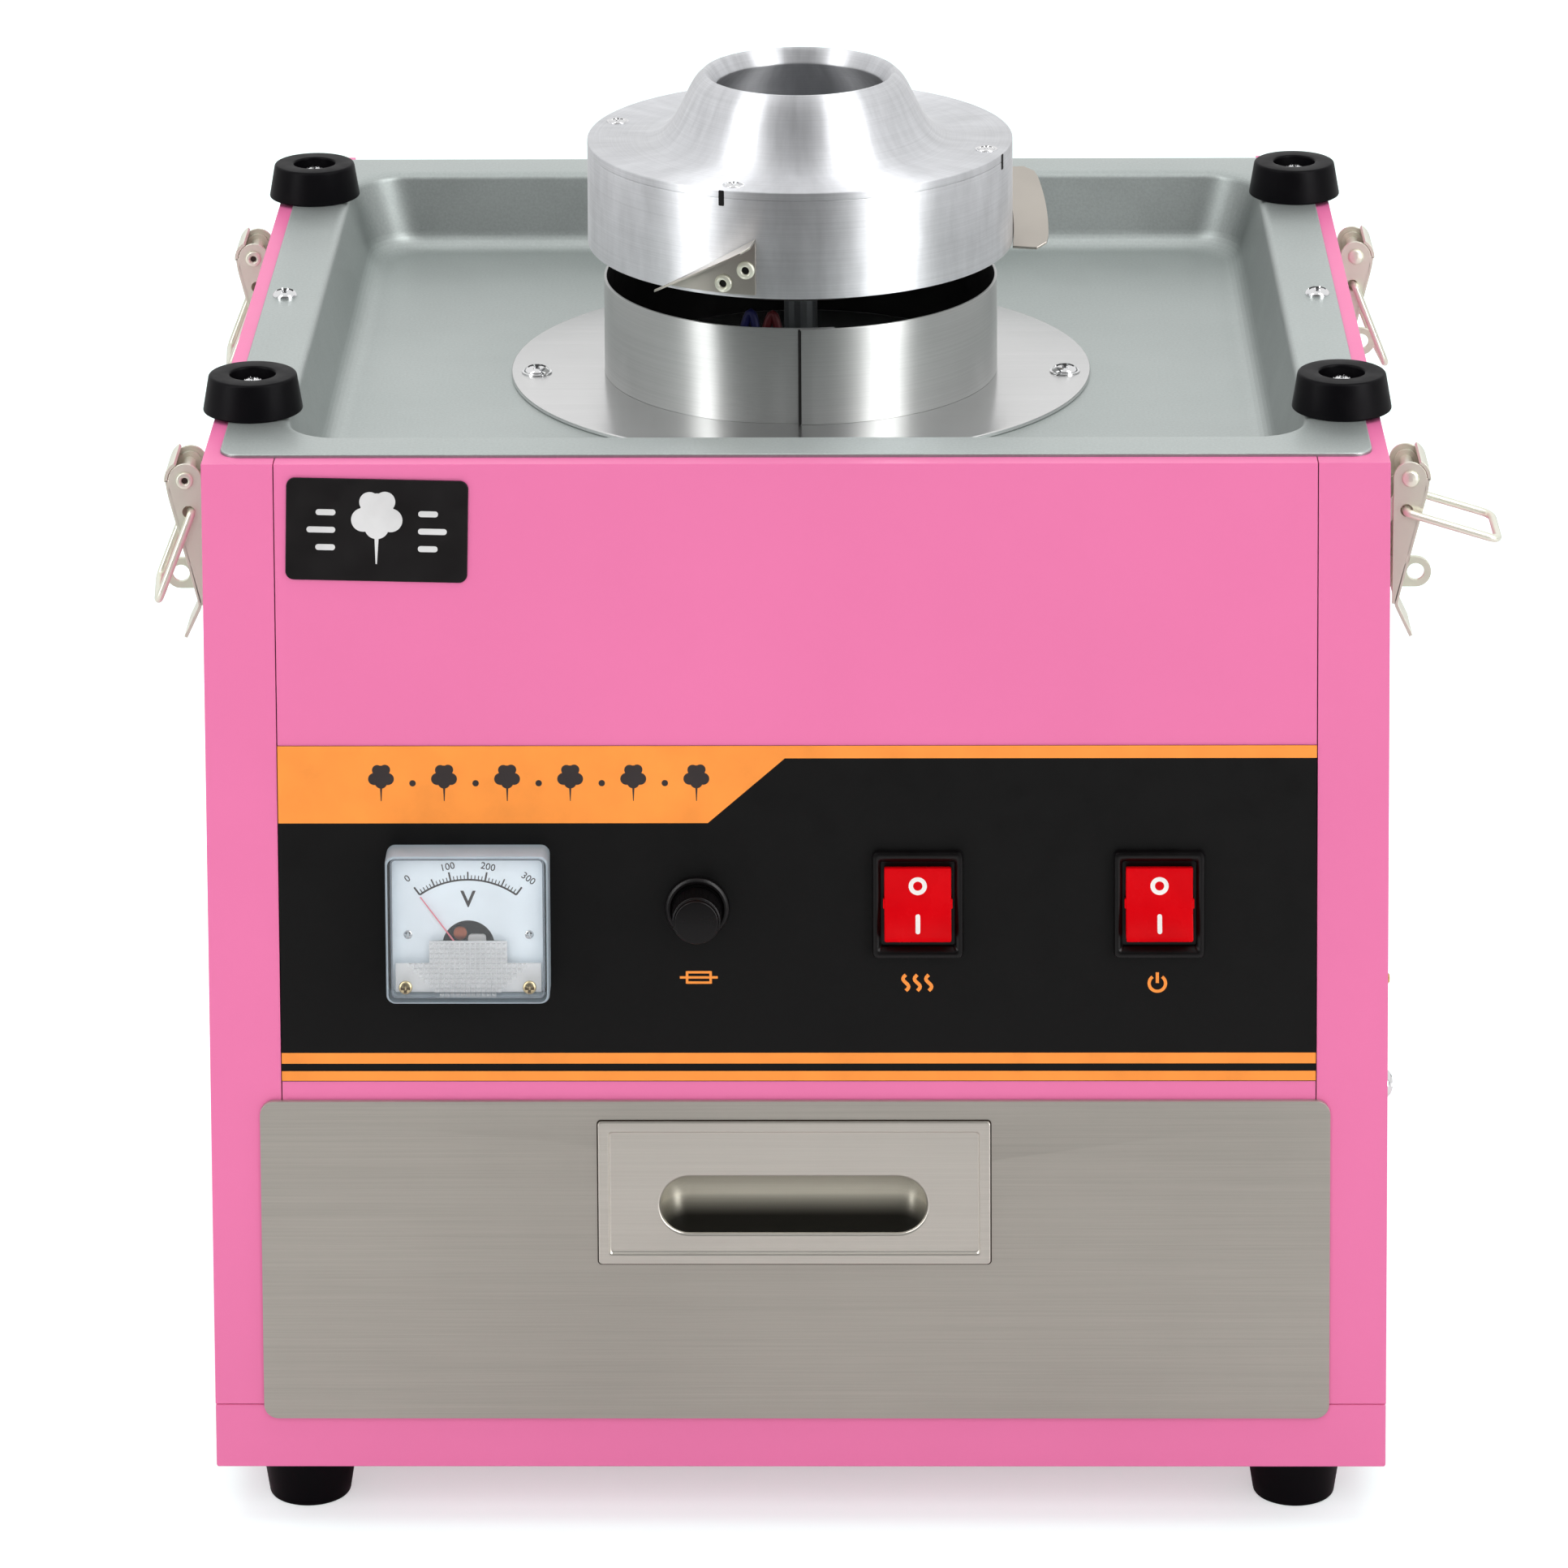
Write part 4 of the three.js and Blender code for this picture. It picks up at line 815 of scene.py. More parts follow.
def drawer_pull():
    """The flush pull: a plate with a rolled rim and a finger cup pressed into it, with painted shade low in
    the cup, and the painted shadow of the gap round it.
    """
    pull, front_y = Span("drawer_pull"), Span("drawer_front").y0
    face, x, z = pull.y0, pull.x, pull.z
    w, h, thick, field, lip_end = 110.0, 41.7, 0.8, 0.75, 0.8
    profile = ((0.0, thick), (0.0, 0.34), (0.12, 0.16), (0.4, 0.04), (0.8, 0.0), (0.95, 0.0), (5.0, 0.0),
               (5.15, 0.0), (5.5, 0.03), (5.9, 0.14), (6.1, 0.32), (6.3, 0.5), (6.6, 0.68), (7.0, field),
               (7.45, field), (8.0, field))
    rim = rect_loft([(w - inset, h - inset, 1.0, face + down) for inset, down in profile], x, z, caps=False)
    flat = plate(round_rect(w - 8.0, h - 8.0, 1.0, 8, x, z), face + field, face + field + thick,
                 [grip(76.6, 18.2)])
    flat.faces = [f for f in flat.faces if all(i < len(flat.verts) // 2 for i in f)]
    cup = []
    lip = ((0.4, 0.0), (0.2, 0.0), (-0.4, 0.1), (-0.9, 0.35), (-1.3, lip_end))
    for grow, down in lip:
        cup.append([(a, face + field + down, b) for a, b in grip(76.2 + grow, 17.8 + grow)])
    for k in range(1, 13):
        turn = math.pi / 2 * k / 12
        shrink, down = 17.0 * (1 - math.cos(turn)), 9.5 * math.sin(turn)
        cup.append([(a, face + field + lip_end + down, b)
                    for a, b in grip(74.9 - shrink, 16.5 - shrink * 0.96)])
    recess = loft(cup, caps=False)
    end, n = len(recess.verts), len(cup[0])
    recess.faces.append(tuple(range(end - n, end)))
    plain = len(rim.faces) + len(flat.faces) + (len(lip) - 1) * n
    made = piece("pull_plate", rim + flat + recess, PULL_STEEL, "drawer_steel", "drawer", "drawer_pull",
                 sharp=30)
    # The cup's faces take the steel with painted shade low in the recess.
    made.data.materials.append(CUP_STEEL)
    for polygon in made.data.polygons[plain:]:
        polygon.material_index = 1
    # A dark ring round the plate: painted shadow of the gap between the plate and the front.
    seam = round_rect(w + 0.7, h + 0.7, 1.2, 8, x, z)
    hollow = round_rect(w - 2, h - 2, 1.5, 8, x, z)
    gap = plate(seam, front_y - 0.14, front_y - 0.02, [hollow])
    piece("pull_seam", gap, HOLLOW_SHADE, "drawer_steel", "drawer")


# ---- Control panel ------------------------------------------------------------------------------
def cloud_on_stick(size, x, z, y0, y1):
    """A generic pictogram: a puff of floss on a stick."""
    lobes = ((0, 0.30, 0.27), (-0.22, 0.12, 0.2), (0.22, 0.12, 0.2), (-0.12, 0.42, 0.17),
             (0.13, 0.43, 0.17), (0, 0.0, 0.2))
    form = Form()
    for i, (a, b, r) in enumerate(lobes):
        form = form + plate(circle(r * size, x + a * size, z + b * size, 28), y0 - 0.004 * i, y1)
    stick = [(x + a * size, z + b * size)
             for a, b in ((-0.035, -0.15), (0.035, -0.15), (0.012, -0.62), (-0.012, -0.62))]
    return form + plate(stick, y0, y1)


def panel_graphics():
    """What is printed on the label: a banner with a slanted end, two stripes and small symbols."""
    ink, film = LABEL_FACE - 0.06, LABEL_FACE - 0.005
    left, right, high, low, step = LABEL.x0, LABEL.x1, LABEL.z1, 188.8, 207.5
    banner = [(left, low), (-24.9, low), (-3.3, step), (right, step), (right, high), (left, high)]
    prints = {"label_banner": plate(banner, ink, film)}
    for i, (low, top) in enumerate(((113.9, 116.7), (118.9, 122.0))):
        stripe = [(left, low), (right, low), (right, top), (left, top)]
        prints[f"label_stripe_{i + 1}"] = plate(stripe, ink, film)
    icons, count, pitch = Form(), 6, 17.6
    for i in range(count):
        icons = icons + cloud_on_stick(8.6, -116.0 + pitch * i, 200.6, ink - 0.05, ink + 0.01)
        if i < count - 1:
            icons = icons + plate(circle(0.9, -107.2 + pitch * i, 200.4, 20), ink - 0.05, ink + 0.01)
    z, line = 144.0, 0.7
    left, right = -31.0, -24.4
    fuse = ribbon([(left - 2, z), (right + 2, z)], line, ink, film)
    for side in (-1.5, 1.5):
        fuse = fuse + ribbon([(left, z + side), (right, z + side)], line, ink - 0.003, film)
    for a in (left, right):
        fuse = fuse + ribbon([(a, z - 1.8), (a, z + 1.8)], line, ink - 0.006, film)
    heat = Form()
    for x in (30.2, 33.4, 36.6):
        wave = [(x + 0.8 * math.sin(2 * math.pi * k / 12), z - 3.9 + 4.6 * k / 12) for k in range(13)]
        heat = heat + ribbon(wave, 1.0, ink, film)
    x = 100.5
    power = ribbon(arc(2.3, range(125, 416, 10), x, z - 1.8), 0.9, ink, film)
    power = power + ribbon([(x, z - 1.7), (x, z + 1.4)], 0.9, ink, film)
    prints.update(symbol_fuse=fuse, symbol_heat=heat, symbol_power=power)
    for name, form in prints.items():
        piece(name, form, ORANGE_INK, "label_film")
    piece("banner_icons", icons, DARK_INK, "label_film")


def badge():
    """The badge in the upper corner, hung a little askew, with a generic floss pictogram."""
    span = Span("badge_plate")
    w, h, corner, tilt = 50.6, 29.2, 2.4, 1.3
    place = shift(span.x, 0, span.z) @ spin("Y", tilt)
    form = plate(round_rect(w, h, corner, 10), span.y0, span.y1)
    piece("badge", form.moved(place), BADGE_BLACK, "badge_black", replaces="badge_plate", bevel=0.25)
    ink, film = span.y0 - 0.08, span.y0 + 0.01
    marks = cloud_on_stick(17.0, 0, 1.0, ink, film)
    for side in (-1, 1):
        for rise, long in ((-5.0, 5.5), (0.0, 8.0), (5.0, 5.5)):
            outline = round_rect(long, 1.7, 0.8, 4, side * (11.5 + long / 2), rise)
            marks = marks + plate(outline, ink, film)
    piece("badge_mark", marks.moved(place), SILVER_INK, "badge_black")


def rocker_switch(name):
    """A switch: black bezel and can, and a dished red rocker with its two printed marks."""
    body = Span(f"{name}_switch_body")
    x, z, face, w, h = body.x, body.z, LABEL_FACE, body.w, body.h
    bezel = [(w, h, 1.5, -0.02), (w, h, 1.5, -1.3), (w - 0.5, h - 0.5, 1.4, -1.85),
             (w - 1.3, h - 1.3, 1.2, -2.0), (w - 2.4, h - 3.0, 1.0, -2.0), (w - 3.0, h - 3.6, 0.9, -1.85),
             (20.9, 24.8, 0.7, -0.9), (20.6, 24.3, 0.6, -0.3), (20.6, 24.3, 0.6, 9.0)]
    rim = rect_loft([(*size, face + out) for *size, out in bezel], x, z, 6)
    can = [(22.0, 28.4, 1.0, 0.4), (22.0, 28.4, 1.0, 23.6), (21.2, 27.6, 1.0, 24)]
    form = rim + rect_loft([(*size, face + out) for *size, out in can], x, z, 4)
    piece(f"{name}_bezel", form, BLACK_PLASTIC, "black_plastic", replaces=f"{name}_switch_body", sharp=32)

    half, half_w, valley, edge = 10.4, 9.35, 4.8, 6.4

    def dish(b):
        """The depth of the pressed face at a height."""
        return -(valley + (edge - valley) * (b / half) ** 2)

    reach = half - 0.9
    heights = [reach * (1 - k / 8) for k in range(17)]
    profile = [(-1, half - 0.4), (-edge + 0.9, half - 0.05), (-edge + 0.25, half - 0.3)] \
        + [(dish(b), b) for b in heights] \
        + [(-edge + 0.25, -half + 0.3), (-edge + 0.9, -half + 0.05), (-1, -half + 0.4),
           (5, -6), (6, 0), (5, 6)]
    rings = []
    for a, inset in ((-half_w, 0.45), (-half_w + 0.12, 0.15), (-half_w + 0.45, 0.0), (half_w - 0.45, 0.0),
                     (half_w - 0.12, 0.15), (half_w, 0.45)):
        rings.append([(a, y + inset * (1 if y < 0 else -0.2), b * (1 - inset / half))
                      for y, b in profile])
    cap = loft(rings)
    for side in (-1, 1):
        cap = cap + bar(0.5, 2.6, 0.2, -4.4, -2.0, side * (half_w + 0.1))
    pressed = shift(x, face + 2.0, z) @ spin("X", -9)
    rocker = f"{name}_rocker"
    piece(f"{rocker}_cap", cap.moved(pressed), RED_PLASTIC, "red_plastic", rocker, f"{name}_switch_rocker",
          sharp=40)

    outer, inner = circle(2.55, 0, 5.1, 40), circle(1.3, 0, 5.1, 40)
    turns = ((outer, 0.1), (outer, -0.06), (inner, -0.06), (inner, 0.1), (outer, 0.1))
    marks = loft([[(a, y, b) for a, b in loop] for loop, y in turns], caps=False) \
        + bar(1.3, 5.3, 0.6, 0.1, -0.06, 0, -5.4, 6)
    marks = marks.bent(lambda v: Vector((v.x, dish(v.z) + v.y, v.z))).moved(pressed)
    piece(f"{rocker}_marks", marks, WHITE_INK, "red_plastic", rocker)


def fuse_holder():
    """The fuse socket's flange and barrel, and its ribbed cap."""
    holder = Span("fuse_holder")
    outward = shift(holder.x, LABEL_FACE, holder.z) @ FORWARD
    flange = lathe(fillet([(7.1, 0), (9.0, 0, 0.2), (9.0, 1.5, 0.7), (8.2, 2.2, 0.4), (7.6, 2.2, 0.2),
                           (7.1, 1.4, 0.2)]), 72)
    barrel = lathe(fillet([(4.2, -30), (5.6, -30, 0.6), (5.6, 1), (4.2, 1)]), 48)
    piece("fuse_socket", (flange + barrel).moved(outward), BLACK_GLOSS, "black_plastic",
          replaces="fuse_holder")
    out = LABEL_FACE - Span("fuse_cap").y0
    knob = lathe(fillet([(0, 2.4), (6.2, 2.4), (6.85, 3.2, 0.5), (6.75, out - 1.6, 0.5),
                         (6.3, out - 1.4, 0.2), (6.1, out, 0.5), (0, out)]), 72)
    for a, b in circle(6.72, steps=24):
        rib = tube([(0, 0, 3.4), (0, 0, out - 2.4)], 0.22, 6)
        knob = knob + rib.moved(shift(a, b, 0) @ spin("Z", math.degrees(math.atan2(b, a))))
    stem = lathe(fillet([(0, -8), (3.8, -8, 0.3), (3.8, 3), (0, 3)]), 32)
    knob = (knob + stem).moved(outward)
    piece("fuse_knob", knob, BLACK_GLOSS, "black_plastic", "fuse_carrier", "fuse_cap")


# ---- Voltmeter ----------------------------------------------------------------------------------
METER = Span("voltmeter_cover")
CARD_FACE = Span("voltmeter_dial").y0
COVER_FRONT = LABEL_FACE - 9.0
COVER_INSIDE = COVER_FRONT + 1.4
METER_BACK = LABEL_FACE - 0.05


def meter_loft(sections, caps=True):
    """Squares within the meter's outline, each (inset, corner, depth)."""
    return rect_loft([(METER.w - inset, METER.h - inset, corner, y) for inset, corner, y in sections],
                     METER.x, METER.z, 8, caps)


def meter_frame(name, outer, inner, y0, y1, material):
    """A square frame between two (inset, corner) outlines."""
    loops = ((*outer, y0), (*outer, y1), (*inner, y1), (*inner, y0), (*outer, y0))
    piece(name, meter_loft(loops, caps=False), material, "clear_plastic")


def meter_cover():
    """The clear cover, cloudy at its sides, with the edges that show through it."""
    sections = ((2.8, 1.6, COVER_INSIDE), (2.8, 1.6, METER_BACK), (0, 2.5, METER_BACK),
                (0, 2.5, COVER_FRONT + 1.2), (0.5, 2.4, COVER_FRONT + 0.4), (1.4, 2.2, COVER_FRONT))
    clear = piece("meter_cover", meter_loft(sections), CLEAR, "clear_plastic", replaces="voltmeter_cover",
                  sharp=30)
    clear.data.materials.append(CLEAR_WALL)
    for face in clear.data.polygons:
        if abs(face.normal.y) < 0.9:
            face.material_index = 1
    line = COVER_INSIDE + 0.12
    meter_frame("meter_edge_line", (2.9, 1.4), (3.6, 1.2), line, line + 0.3, EDGE_GREY)
    meter_frame("meter_frame", (2.9, 1.6), (4.8, 1.2), METER_BACK, Span("voltmeter_dial").y1 - 0.1,
                SILVER_INK)


def meter_movement():
    """The dial card with its arched window, and the coil and yoke seen in it."""
    x, z, r = METER.x, METER.z - 6.7, 7.3
    side, top, foot = 10.5, z + 1.4, z - 4.4
    window = arc(r, range(12, 169, 6), x, z) + [(x - side, top), (x - side, foot), (x + side, foot),
                                                (x + side, top)]
    card = plate(round_rect(42.4, 39.8, 1.0, 4, x, METER.z), CARD_FACE, CARD_FACE + 0.4, [window])
    piece("meter_card", card, DIAL_WHITE, "dial_white", replaces="voltmeter_dial")
    well = plate(round_rect(24, 16, 1, 4, x, z), CARD_FACE + 0.8, CARD_FACE + 1.4)
    piece("meter_well", well, BLACK_PLASTIC, "black_plastic")
    coil = lathe(fillet([(0, 0), (1.9, 0, 0.3), (1.9, 1.1, 0.3), (0, 1.1)]), 32)
    coil = coil.moved(shift(x - 2.3, CARD_FACE + 0.75, z + 3.6) @ FORWARD)
    piece("meter_coil", coil, COPPER, "brass")
    yoke = plate(round_rect(5.0, 4.0, 1.0, 4, x + 2.4, z + 1.2), CARD_FACE - 0.1, CARD_FACE + 0.7)
    piece("meter_yoke", yoke, SILVER_INK, "dial_white")


def meter_scale():
    """The scale with its figures, and the needle at the scale's low end."""
    x, pivot_z, radius, half_sweep, top_value = METER.x, METER.z - 10.5, 22.9, 36.0, 300
    ink = CARD_FACE - 0.05

    def lean(share):
        """Degrees to the right of upright at a share of the scale."""
        return half_sweep * (2 * share - 1)

    def at(out, share):
        return polar(radius + out, 90 - lean(share), x, pivot_z)

    scale = ribbon([at(0, k / 48) for k in range(49)], 0.5, ink, CARD_FACE)
    for k in range(31):
        long, wide = (2.7, 0.5) if k % 10 == 0 else (2.3, 0.4) if k % 5 == 0 else (1.3, 0.26)
        scale = scale + ribbon([at(0, k / 30), at(long, k / 30)], wide, ink, CARD_FACE)
    for value, out in ((0, 5.8), (100, 4.3), (200, 4.3), (top_value, 5.8)):
        share = value / top_value
        scale = scale + lettering(str(value), 2.8, *at(out, share), lean(share), ink, bold=0.004)
    scale = scale + lettering("V", 6.6, x, METER.z + 6.6, 0, ink, 0.06)
    piece("meter_scale", scale, DARK_INK, "dial_white")

    front, back = -1.2, -0.9
    needle = plate([(-0.22, 0), (0.22, 0), (0.14, 22.6), (-0.14, 22.6)], front, back)
    tail = plate(fillet([(-0.5, -4.5, 0.3), (0.5, -4.5, 0.3), (0.35, 0), (-0.35, 0)]), front, back)
    hub = lathe(fillet([(0, 0.4), (1.6, 0.4, 0.2), (1.6, 1.55, 0.4), (0, 1.55)]), 32).moved(FORWARD)
    form = (needle + tail + hub).moved(shift(x, CARD_FACE, pivot_z) @ spin("Y", lean(0)))
    piece("meter_pointer", form, NEEDLE_RED, "red_plastic", "meter_needle", "voltmeter_needle")


def meter_prisms():
    """Raised pyramids moulded inside the cover, in rows that narrow towards the foot."""
    pitch, height, rows, straight_rows = 1.45, 0.55, 11, 4
    half, base, tip = pitch * 0.43, COVER_INSIDE + 0.05, COVER_INSIDE + height + 0.1
    prisms = Form()
    for row in range(rows):
        half_count = 7 if row < straight_rows else rows + straight_rows - row
        for column in range(-half_count, half_count + 1):
            a, b = METER.x + column * pitch, METER.z - 4.8 - row * pitch
            corners = [(a + i * half, base, b + j * half)
                       for i, j in ((-1, -1), (1, -1), (1, 1), (-1, 1))]
            prisms = prisms + Form(corners + [(a, tip, b)],
                                   [(0, 1, 2, 3), (0, 1, 4), (1, 2, 4), (2, 3, 4), (3, 0, 4)])
    piece("meter_prisms", prisms, FROSTED, "clear_plastic", sharp=10)


def meter_fittings():
    """The stepped mask over the dial's lower part, and four small screws."""
    x, z = METER.x, METER.z
    low, step, high, wide, narrow = z - 19.4, z - 11.0, z - 4.6, 20.4, 10.9
    apron = [(x - wide, low), (x + wide, low), (x + wide, step), (x + narrow, step), (x + narrow, high),
             (x - narrow, high), (x - narrow, step), (x - wide, step)]
    mask = plate(apron, CARD_FACE - 2.1, CARD_FACE - 1.75)
    piece("meter_lower_mask", mask, CARD_GREY, "dial_white", bevel=0.1)
    spots = ((-17.4, -16.8, 1.9, PALE_BRASS, COVER_FRONT + 0.9),
             (17.2, -16.8, 1.9, PALE_BRASS, COVER_FRONT + 0.9),
             (-16.9, -3.5, 1.25, CHROME, CARD_FACE), (17.0, -3.5, 1.25, CHROME, CARD_FACE))
    for i, (dx, dz, r, material, y) in enumerate(spots):
        head = screw_head(r, r * 0.5, 1.0).moved(shift(x + dx, y, z + dz) @ FORWARD)
        piece(f"meter_screw_{i + 1}", head, material, "brass")


# ---- Latches ------------------------------------------------------------------------------------
def latch(corner, sx, sy):
    """A toggle latch on a side wall; its own +X points away from the wall."""
    place = shift(sx * (SIDE + 8.5), sy * 112.0, 275.0)
    if sx < 0:
        place = place @ spin("Z", 180)
    latch_base(corner, place)
    latch_pin(corner, place, hollow=sx < 0)
    latch_lever(corner, place)
    latch_bail(corner, place)


def latch_base(corner, place):
    """The wall plate with its two lugs and the eye for a padlock."""
    wall, foot = -8.45, -7.55
    eye_x, eye_z, eye_r = 2.3, -30, 4.4
    outline = fillet([(-7.9, -42, 2.5), (7.9, -42, 2.5), (7.9, 5, 1.5), (-7.9, 5, 1.5)], steps=5)
    back = plate(outline, 0, 1.2).moved(shift(wall, 0, 0) @ spin("Z", 90))
    base = back.bent(lambda v: Vector((wall + abs(v.x - wall), v.y, v.z)))
    lug = arc(3.4, range(-50, 231, 20)) + [(foot, -8.5), (foot, -16.0)]
    for y0, y1 in ((-7.9, -6.9), (6.9, 7.9)):
        base = base + plate(lug, y0, y1)
    tongue = [(foot, eye_z - eye_r), (eye_x, eye_z - eye_r)] \
        + arc(eye_r, range(-80, 81, 10), eye_x, eye_z) \
        + [(eye_x, eye_z + eye_r), (foot, eye_z + eye_r)]
    base = base + plate(tongue, -0.7, 0.7, [circle(2.45, eye_x, eye_z, 28)])
    piece(f"latch_base_body_{corner}", base.moved(place), NICKEL, "nickel", replaces=f"latch_base_{corner}",
          bevel=0.22)


def latch_pin(corner, place, hollow):
    """The pin through the lugs: riveted heads, hollow or domed, and the shank between them."""
    head_y, shank_r = 9.3, 1.9
    if hollow:
        head = [(0.9, 0), (2.45, 0, 0.1), (2.3, 0.8, 0.4), (1.3, 0.95, 0.3), (0.9, 0.4, 0.2)]
    else:
        head = [(0, 0), (2.45, 0, 0.1), (2.2, 0.9, 0.9), (0.6, 1.25, 0.5), (0, 1.25)]
    rivet = lathe(fillet(head), 40)
    shank = lathe([(0, 0.1), (shank_r, 0.1), (shank_r, -18.7), (0, -18.7)], 32)
    near, far = (shift(0, side * head_y, 0) @ spin("X", -90 * side) for side in (-1, 1))
    both = rivet.moved(near) + rivet.moved(far) + shank.moved(far)
    piece(f"latch_rivet_{corner}", both.moved(place), NICKEL, "nickel")
    if hollow:
        # A dark disc in the hollow rivet: painted shade of its bore.
        bore = lathe([(0, 0.12), (0.88, 0.12), (0.88, 0.2), (0, 0.2)], 24)
        piece(f"latch_rivet_bore_{corner}", bore.moved(far).moved(place), HOLLOW_SHADE, "black_plastic")


def latch_lever(corner, place):
    """The sheet lever: two ears, a slotted back that follows their edge, and a hood at the top."""
    half, sheet, ear_r, hood_r, foot_x, foot_z = 9.2, 1.0, 4.7, 5.4, -4.0, -36.6
    ear = arc(ear_r, range(-12, 181, 12)) + [(-ear_r, -2), (foot_x - 1, foot_z), (foot_x, foot_z),
                                             (-0.4, -21.9), (ear_r - 0.2, -3)]
    lever = Form()
    for y0, y1 in ((-half, sheet - half), (half - sheet, half)):
        lever = lever + plate(ear, y0, y1, [circle(1.8, -1, -9.3, 24), circle(2.0, 0, 0, 24)])
    path = fillet([(ear_r + 0.4, 0), (ear_r - 0.2, -4, 6), (-0.2, -21.9, 10), (foot_x, foot_z, 3),
                   (0.4, -46)], closed=False, steps=5)
    slot_top, slot_end, slot_half = -24.0, -36.0, 1.5
    strips = ((-half, half, 0, slot_top), (-half, -slot_half, slot_top, slot_end),
              (slot_half, half, slot_top, slot_end), (-half, half, slot_end, path[-1][1]))
    for y0, y1, high, low in strips:
        lever = lever + ribbon(falling(path, high, low), sheet, y0, y1)
    lever = lever + ribbon(arc(hood_r, range(-6, 62, 5)), sheet, -half, half)
    piece(f"latch_lever_body_{corner}", lever.moved(place), NICKEL, "nickel", f"lever_{corner}",
          f"latch_lever_{corner}", 0.22)


def latch_bail(corner, place):
    """The wire bail, standing out at the front right corner and hanging at the others."""
    reach, half, inner, bend = 27.0, 11.4, 7.6, 3.4
    flat = fillet([(0, -inner), (0, -half, 1.2), (reach, -half, bend), (reach, half, bend), (0, half, 1.2),
                   (0, inner)], closed=False, steps=8)
    drop, twist = (17, 0) if corner == "front_right" else (69, 4.5)
    lay = shift(-1, 0, -9.3) @ spin("Z", twist) @ spin("Y", drop)
    wire = tube([(a, b, 0) for a, b in flat], 1.15, 16).moved(lay)
    piece(f"latch_bail_wire_{corner}", wire.moved(place), NICKEL, "nickel", f"bail_{corner}",
          f"latch_bail_{corner}")


def falling(path, high, low, steps=14):
    """Points of a steadily falling (x, z) path, evenly spaced between two heights."""
    out = []
    for k in range(steps + 1):
        z = high + (low - high) * k / steps
        for (xa, za), (xb, zb) in zip(path, path[1:]):
            if za >= z >= zb:
                out.append((xa + (xb - xa) * (za - z) / (za - zb), z))
                break
    return out


def side_fittings():
    """The screw and the brass stud low on the right-hand wall."""
    dome = screw_head(3.9, 2.4).moved(shift(SIDE, -148, 108) @ spin("Y", 90))
    piece("side_screw_upper", dome, CHROME, "nickel")
    stud = lathe(fillet([(0, 0), (1.9, 0), (1.9, 1.6, 0.4), (1.1, 2.6, 0.5), (0, 2.6)]), 32)
    piece("side_stud", stud.moved(shift(SIDE, -131, 132) @ spin("Y", 90)), BRASS, "brass")


# ---- Studio -------------------------------------------------------------------------------------
def floor_material():
    """White to the eye; in mirror-bright metal it is white near the machine and dark further forward."""
    material = bpy.data.materials.new("studio_floor")
    material.use_nodes = True
    tree = material.node_tree
    shader = tree.nodes["Principled BSDF"]
    shader.inputs["Roughness"].default_value = 0.9
    shader.inputs["Specular IOR Level"].default_value = 0.0
    rays = put(tree, "LightPath").outputs
    seen = put(tree, "Mix", {"data_type": "RGBA"}, Factor=rays["Is Camera Ray"],
               A=(0.93, 0.93, 0.93, 1), B=(0.73, 0.92, 0.89, 1))
    place = put(tree, "SeparateXYZ", Vector=put(tree, "NewGeometry").outputs["Position"])
    mirrored = spread(tree, place.outputs["Y"], 0.15, 0.9, -0.85, -0.55)
    colour = put(tree, "Mix", {"data_type": "RGBA"}, Factor=rays["Is Glossy Ray"],
                 A=seen.outputs["Result"], B=mirrored)
    tree.links.new(colour.outputs["Result"], shader.inputs["Base Color"])
    glow = put(tree, "Math", {"operation": "MULTIPLY"}, i0=rays["Is Camera Ray"], i1=0.47)
    shader.inputs["Emission Color"].default_value = (1, 1, 1, 1)
    tree.links.new(glow.outputs[0], shader.inputs["Emission Strength"])
    return material


def softbox(name, azimuth, elevation, distance, size, power, mirrored):
    """An area light facing the machine; azimuth 0 is in front, positive to the right.

    A mirrored one is seen only in bright surfaces, and the others only light what is matt."""
    light = bpy.data.lights.new(name, "AREA")
    light.shape = "RECTANGLE"
    light.size, light.size_y = size
    light.energy = power
    holder = bpy.data.objects.new(name, light)
    bpy.context.scene.collection.objects.link(holder)
    a, e = math.radians(azimuth), math.radians(elevation)
    away = Vector((math.sin(a) * math.cos(e), -math.cos(a) * math.cos(e), math.sin(e)))
    target = Vector((0, 0, 0.2))
    holder.location = target + away * distance
    holder.rotation_euler = (-away).to_track_quat("-Z", "Y").to_euler()
    holder.visible_diffuse = not mirrored
    holder.visible_glossy = mirrored


def world():
    """A sky that is bright behind and above the machine, and dimmer on the camera's side."""
    sky = bpy.data.worlds.new("studio")
    bpy.context.scene.world = sky
    sky.use_nodes = True
    tree = sky.node_tree
    way = put(tree, "SeparateXYZ", Vector=put(tree, "TexCoord").outputs["Generated"]).outputs
    raised = put(tree, "Math", {"operation": "MULTIPLY_ADD"}, i0=way["Z"], i1=0.7, i2=way["Y"]).outputs[0]
    matt = spread(tree, way["Y"], 0.35, 1.0, -0.45, 0.25)
    bright = spread(tree, raised, 0.07, 1.0, -0.45, 0.25)
    mix = put(tree, "Mix", Factor=put(tree, "LightPath").outputs["Is Glossy Ray"], A=matt, B=bright)
    background = tree.nodes["Background"]
    tree.links.new(mix.outputs["Result"], background.inputs["Strength"])
    background.inputs["Color"].default_value = (1, 1, 1, 1)


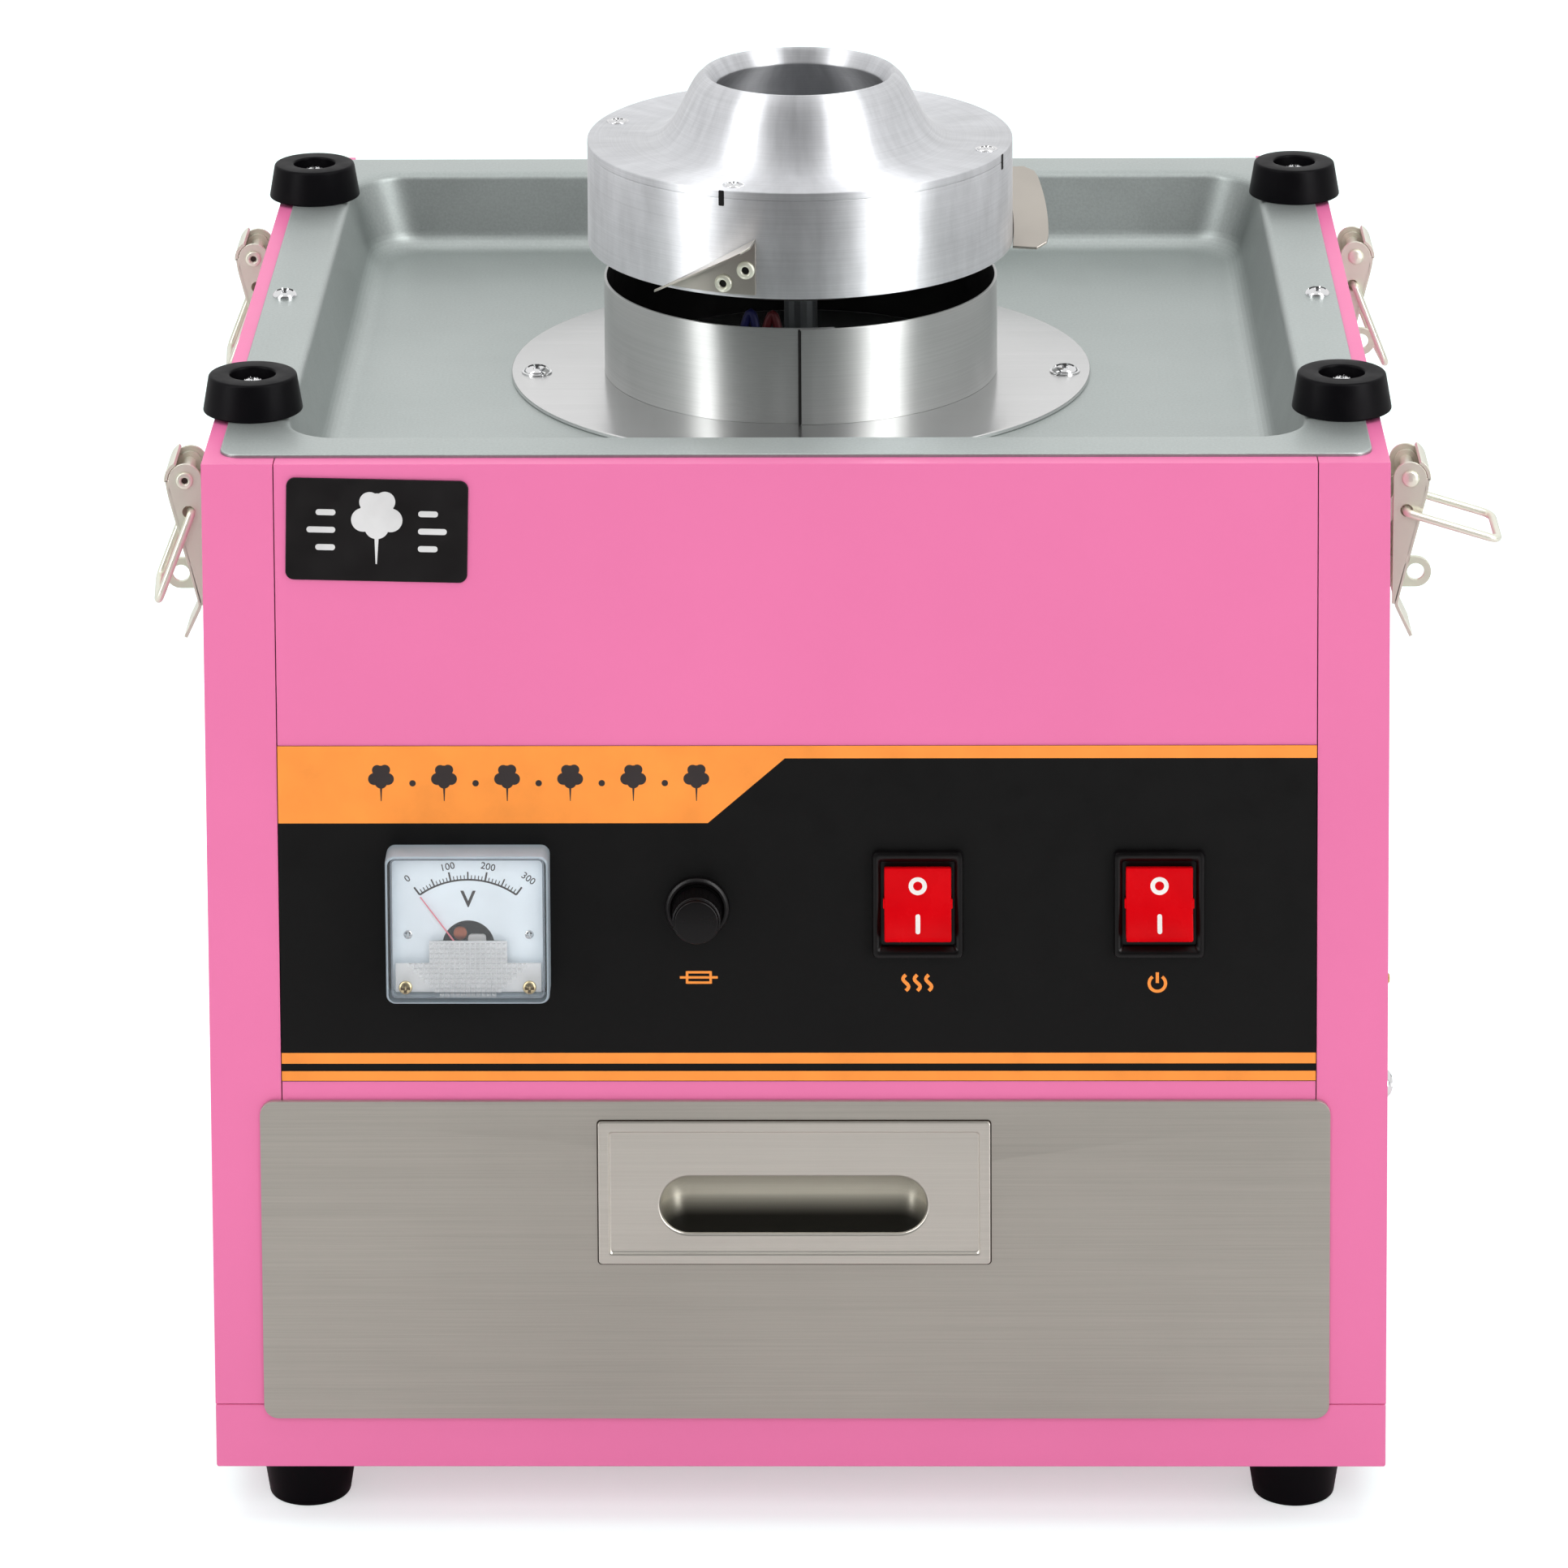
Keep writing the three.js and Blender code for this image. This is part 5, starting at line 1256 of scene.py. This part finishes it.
def studio():
    """Floor, sky and lamps; the lamps' distances and sizes are in metres."""
    floor_side = 30
    bpy.ops.mesh.primitive_plane_add(size=floor_side, location=(0, 0, Span("foot_front_left").z0 * MM))
    floor = bpy.context.object
    floor.name = "studio_floor"
    floor.data.materials.append(floor_material())
    world()
    softbox("band_left", -57, 20, 1.0, (0.20, 1.9), 9.0, mirrored=True)
    softbox("band_right", 51, 20, 1.0, (0.34, 1.9), 15.0, mirrored=True)
    softbox("fill_front", 0, 30, 2.6, (2.4, 1.6), 28, mirrored=False)
    softbox("overhead", 0, 89, 2.4, (2.4, 2.4), 20, mirrored=False)


def camera():
    """The photographer's view: a long lens tilted slightly down, with the picture shifted."""
    yaw, pitch, roll = -0.0125824, 0.1199422, -0.0054198  # radians
    place = Vector((22.64, -2044.23, 893.37)) * MM
    picture_shift = -1.0589
    data = bpy.data.cameras.new("camera")
    data.sensor_width = 36.0
    data.lens = 160.875
    holder = bpy.data.objects.new("camera", data)
    bpy.context.scene.collection.objects.link(holder)
    forward = Vector((math.sin(yaw) * math.cos(pitch), math.cos(yaw) * math.cos(pitch), -math.sin(pitch)))
    right = Vector((math.cos(yaw), -math.sin(yaw), 0))
    up = right.cross(forward)
    level = right * math.cos(roll) + up * math.sin(roll)
    upright = up * math.cos(roll) - right * math.sin(roll)
    turn = Matrix((level, upright, -forward)).transposed().to_4x4()
    holder.matrix_world = Matrix.Translation(place) @ turn
    bpy.context.scene.camera = holder
    # The shift belongs to this one place; any other view of the same camera is unshifted.
    driver = data.driver_add("shift_y").driver
    driver.type = "SCRIPTED"
    where = driver.variables.new()
    where.name = "px"
    where.type = "TRANSFORMS"
    where.targets[0].id = holder
    where.targets[0].transform_type = "LOC_X"
    where.targets[0].transform_space = "WORLD_SPACE"
    driver.expression = f"{picture_shift} * (abs(px - {place.x:.5f}) < 0.0005)"


# ---- Assembly -----------------------------------------------------------------------------------
cabinet()
for corner_name, _, _ in CORNERS:
    rubber_pad("foot_" + corner_name, upward=False)
    rubber_pad("bumper_" + corner_name, upward=True)
for make in (tray, shroud_disc, shroud_strip, spinner, leads, drawer_front, drawer_tub, drawer_pull,
             panel_graphics, badge):
    make()
for switch in ("heat", "power"):
    rocker_switch(switch)
for make in (fuse_holder, meter_cover, meter_movement, meter_scale, meter_prisms, meter_fittings):
    make()
for corner_place in CORNERS:
    latch(*corner_place)
side_fittings()
studio()
camera()
bpy.context.scene.view_settings.view_transform = "Standard"
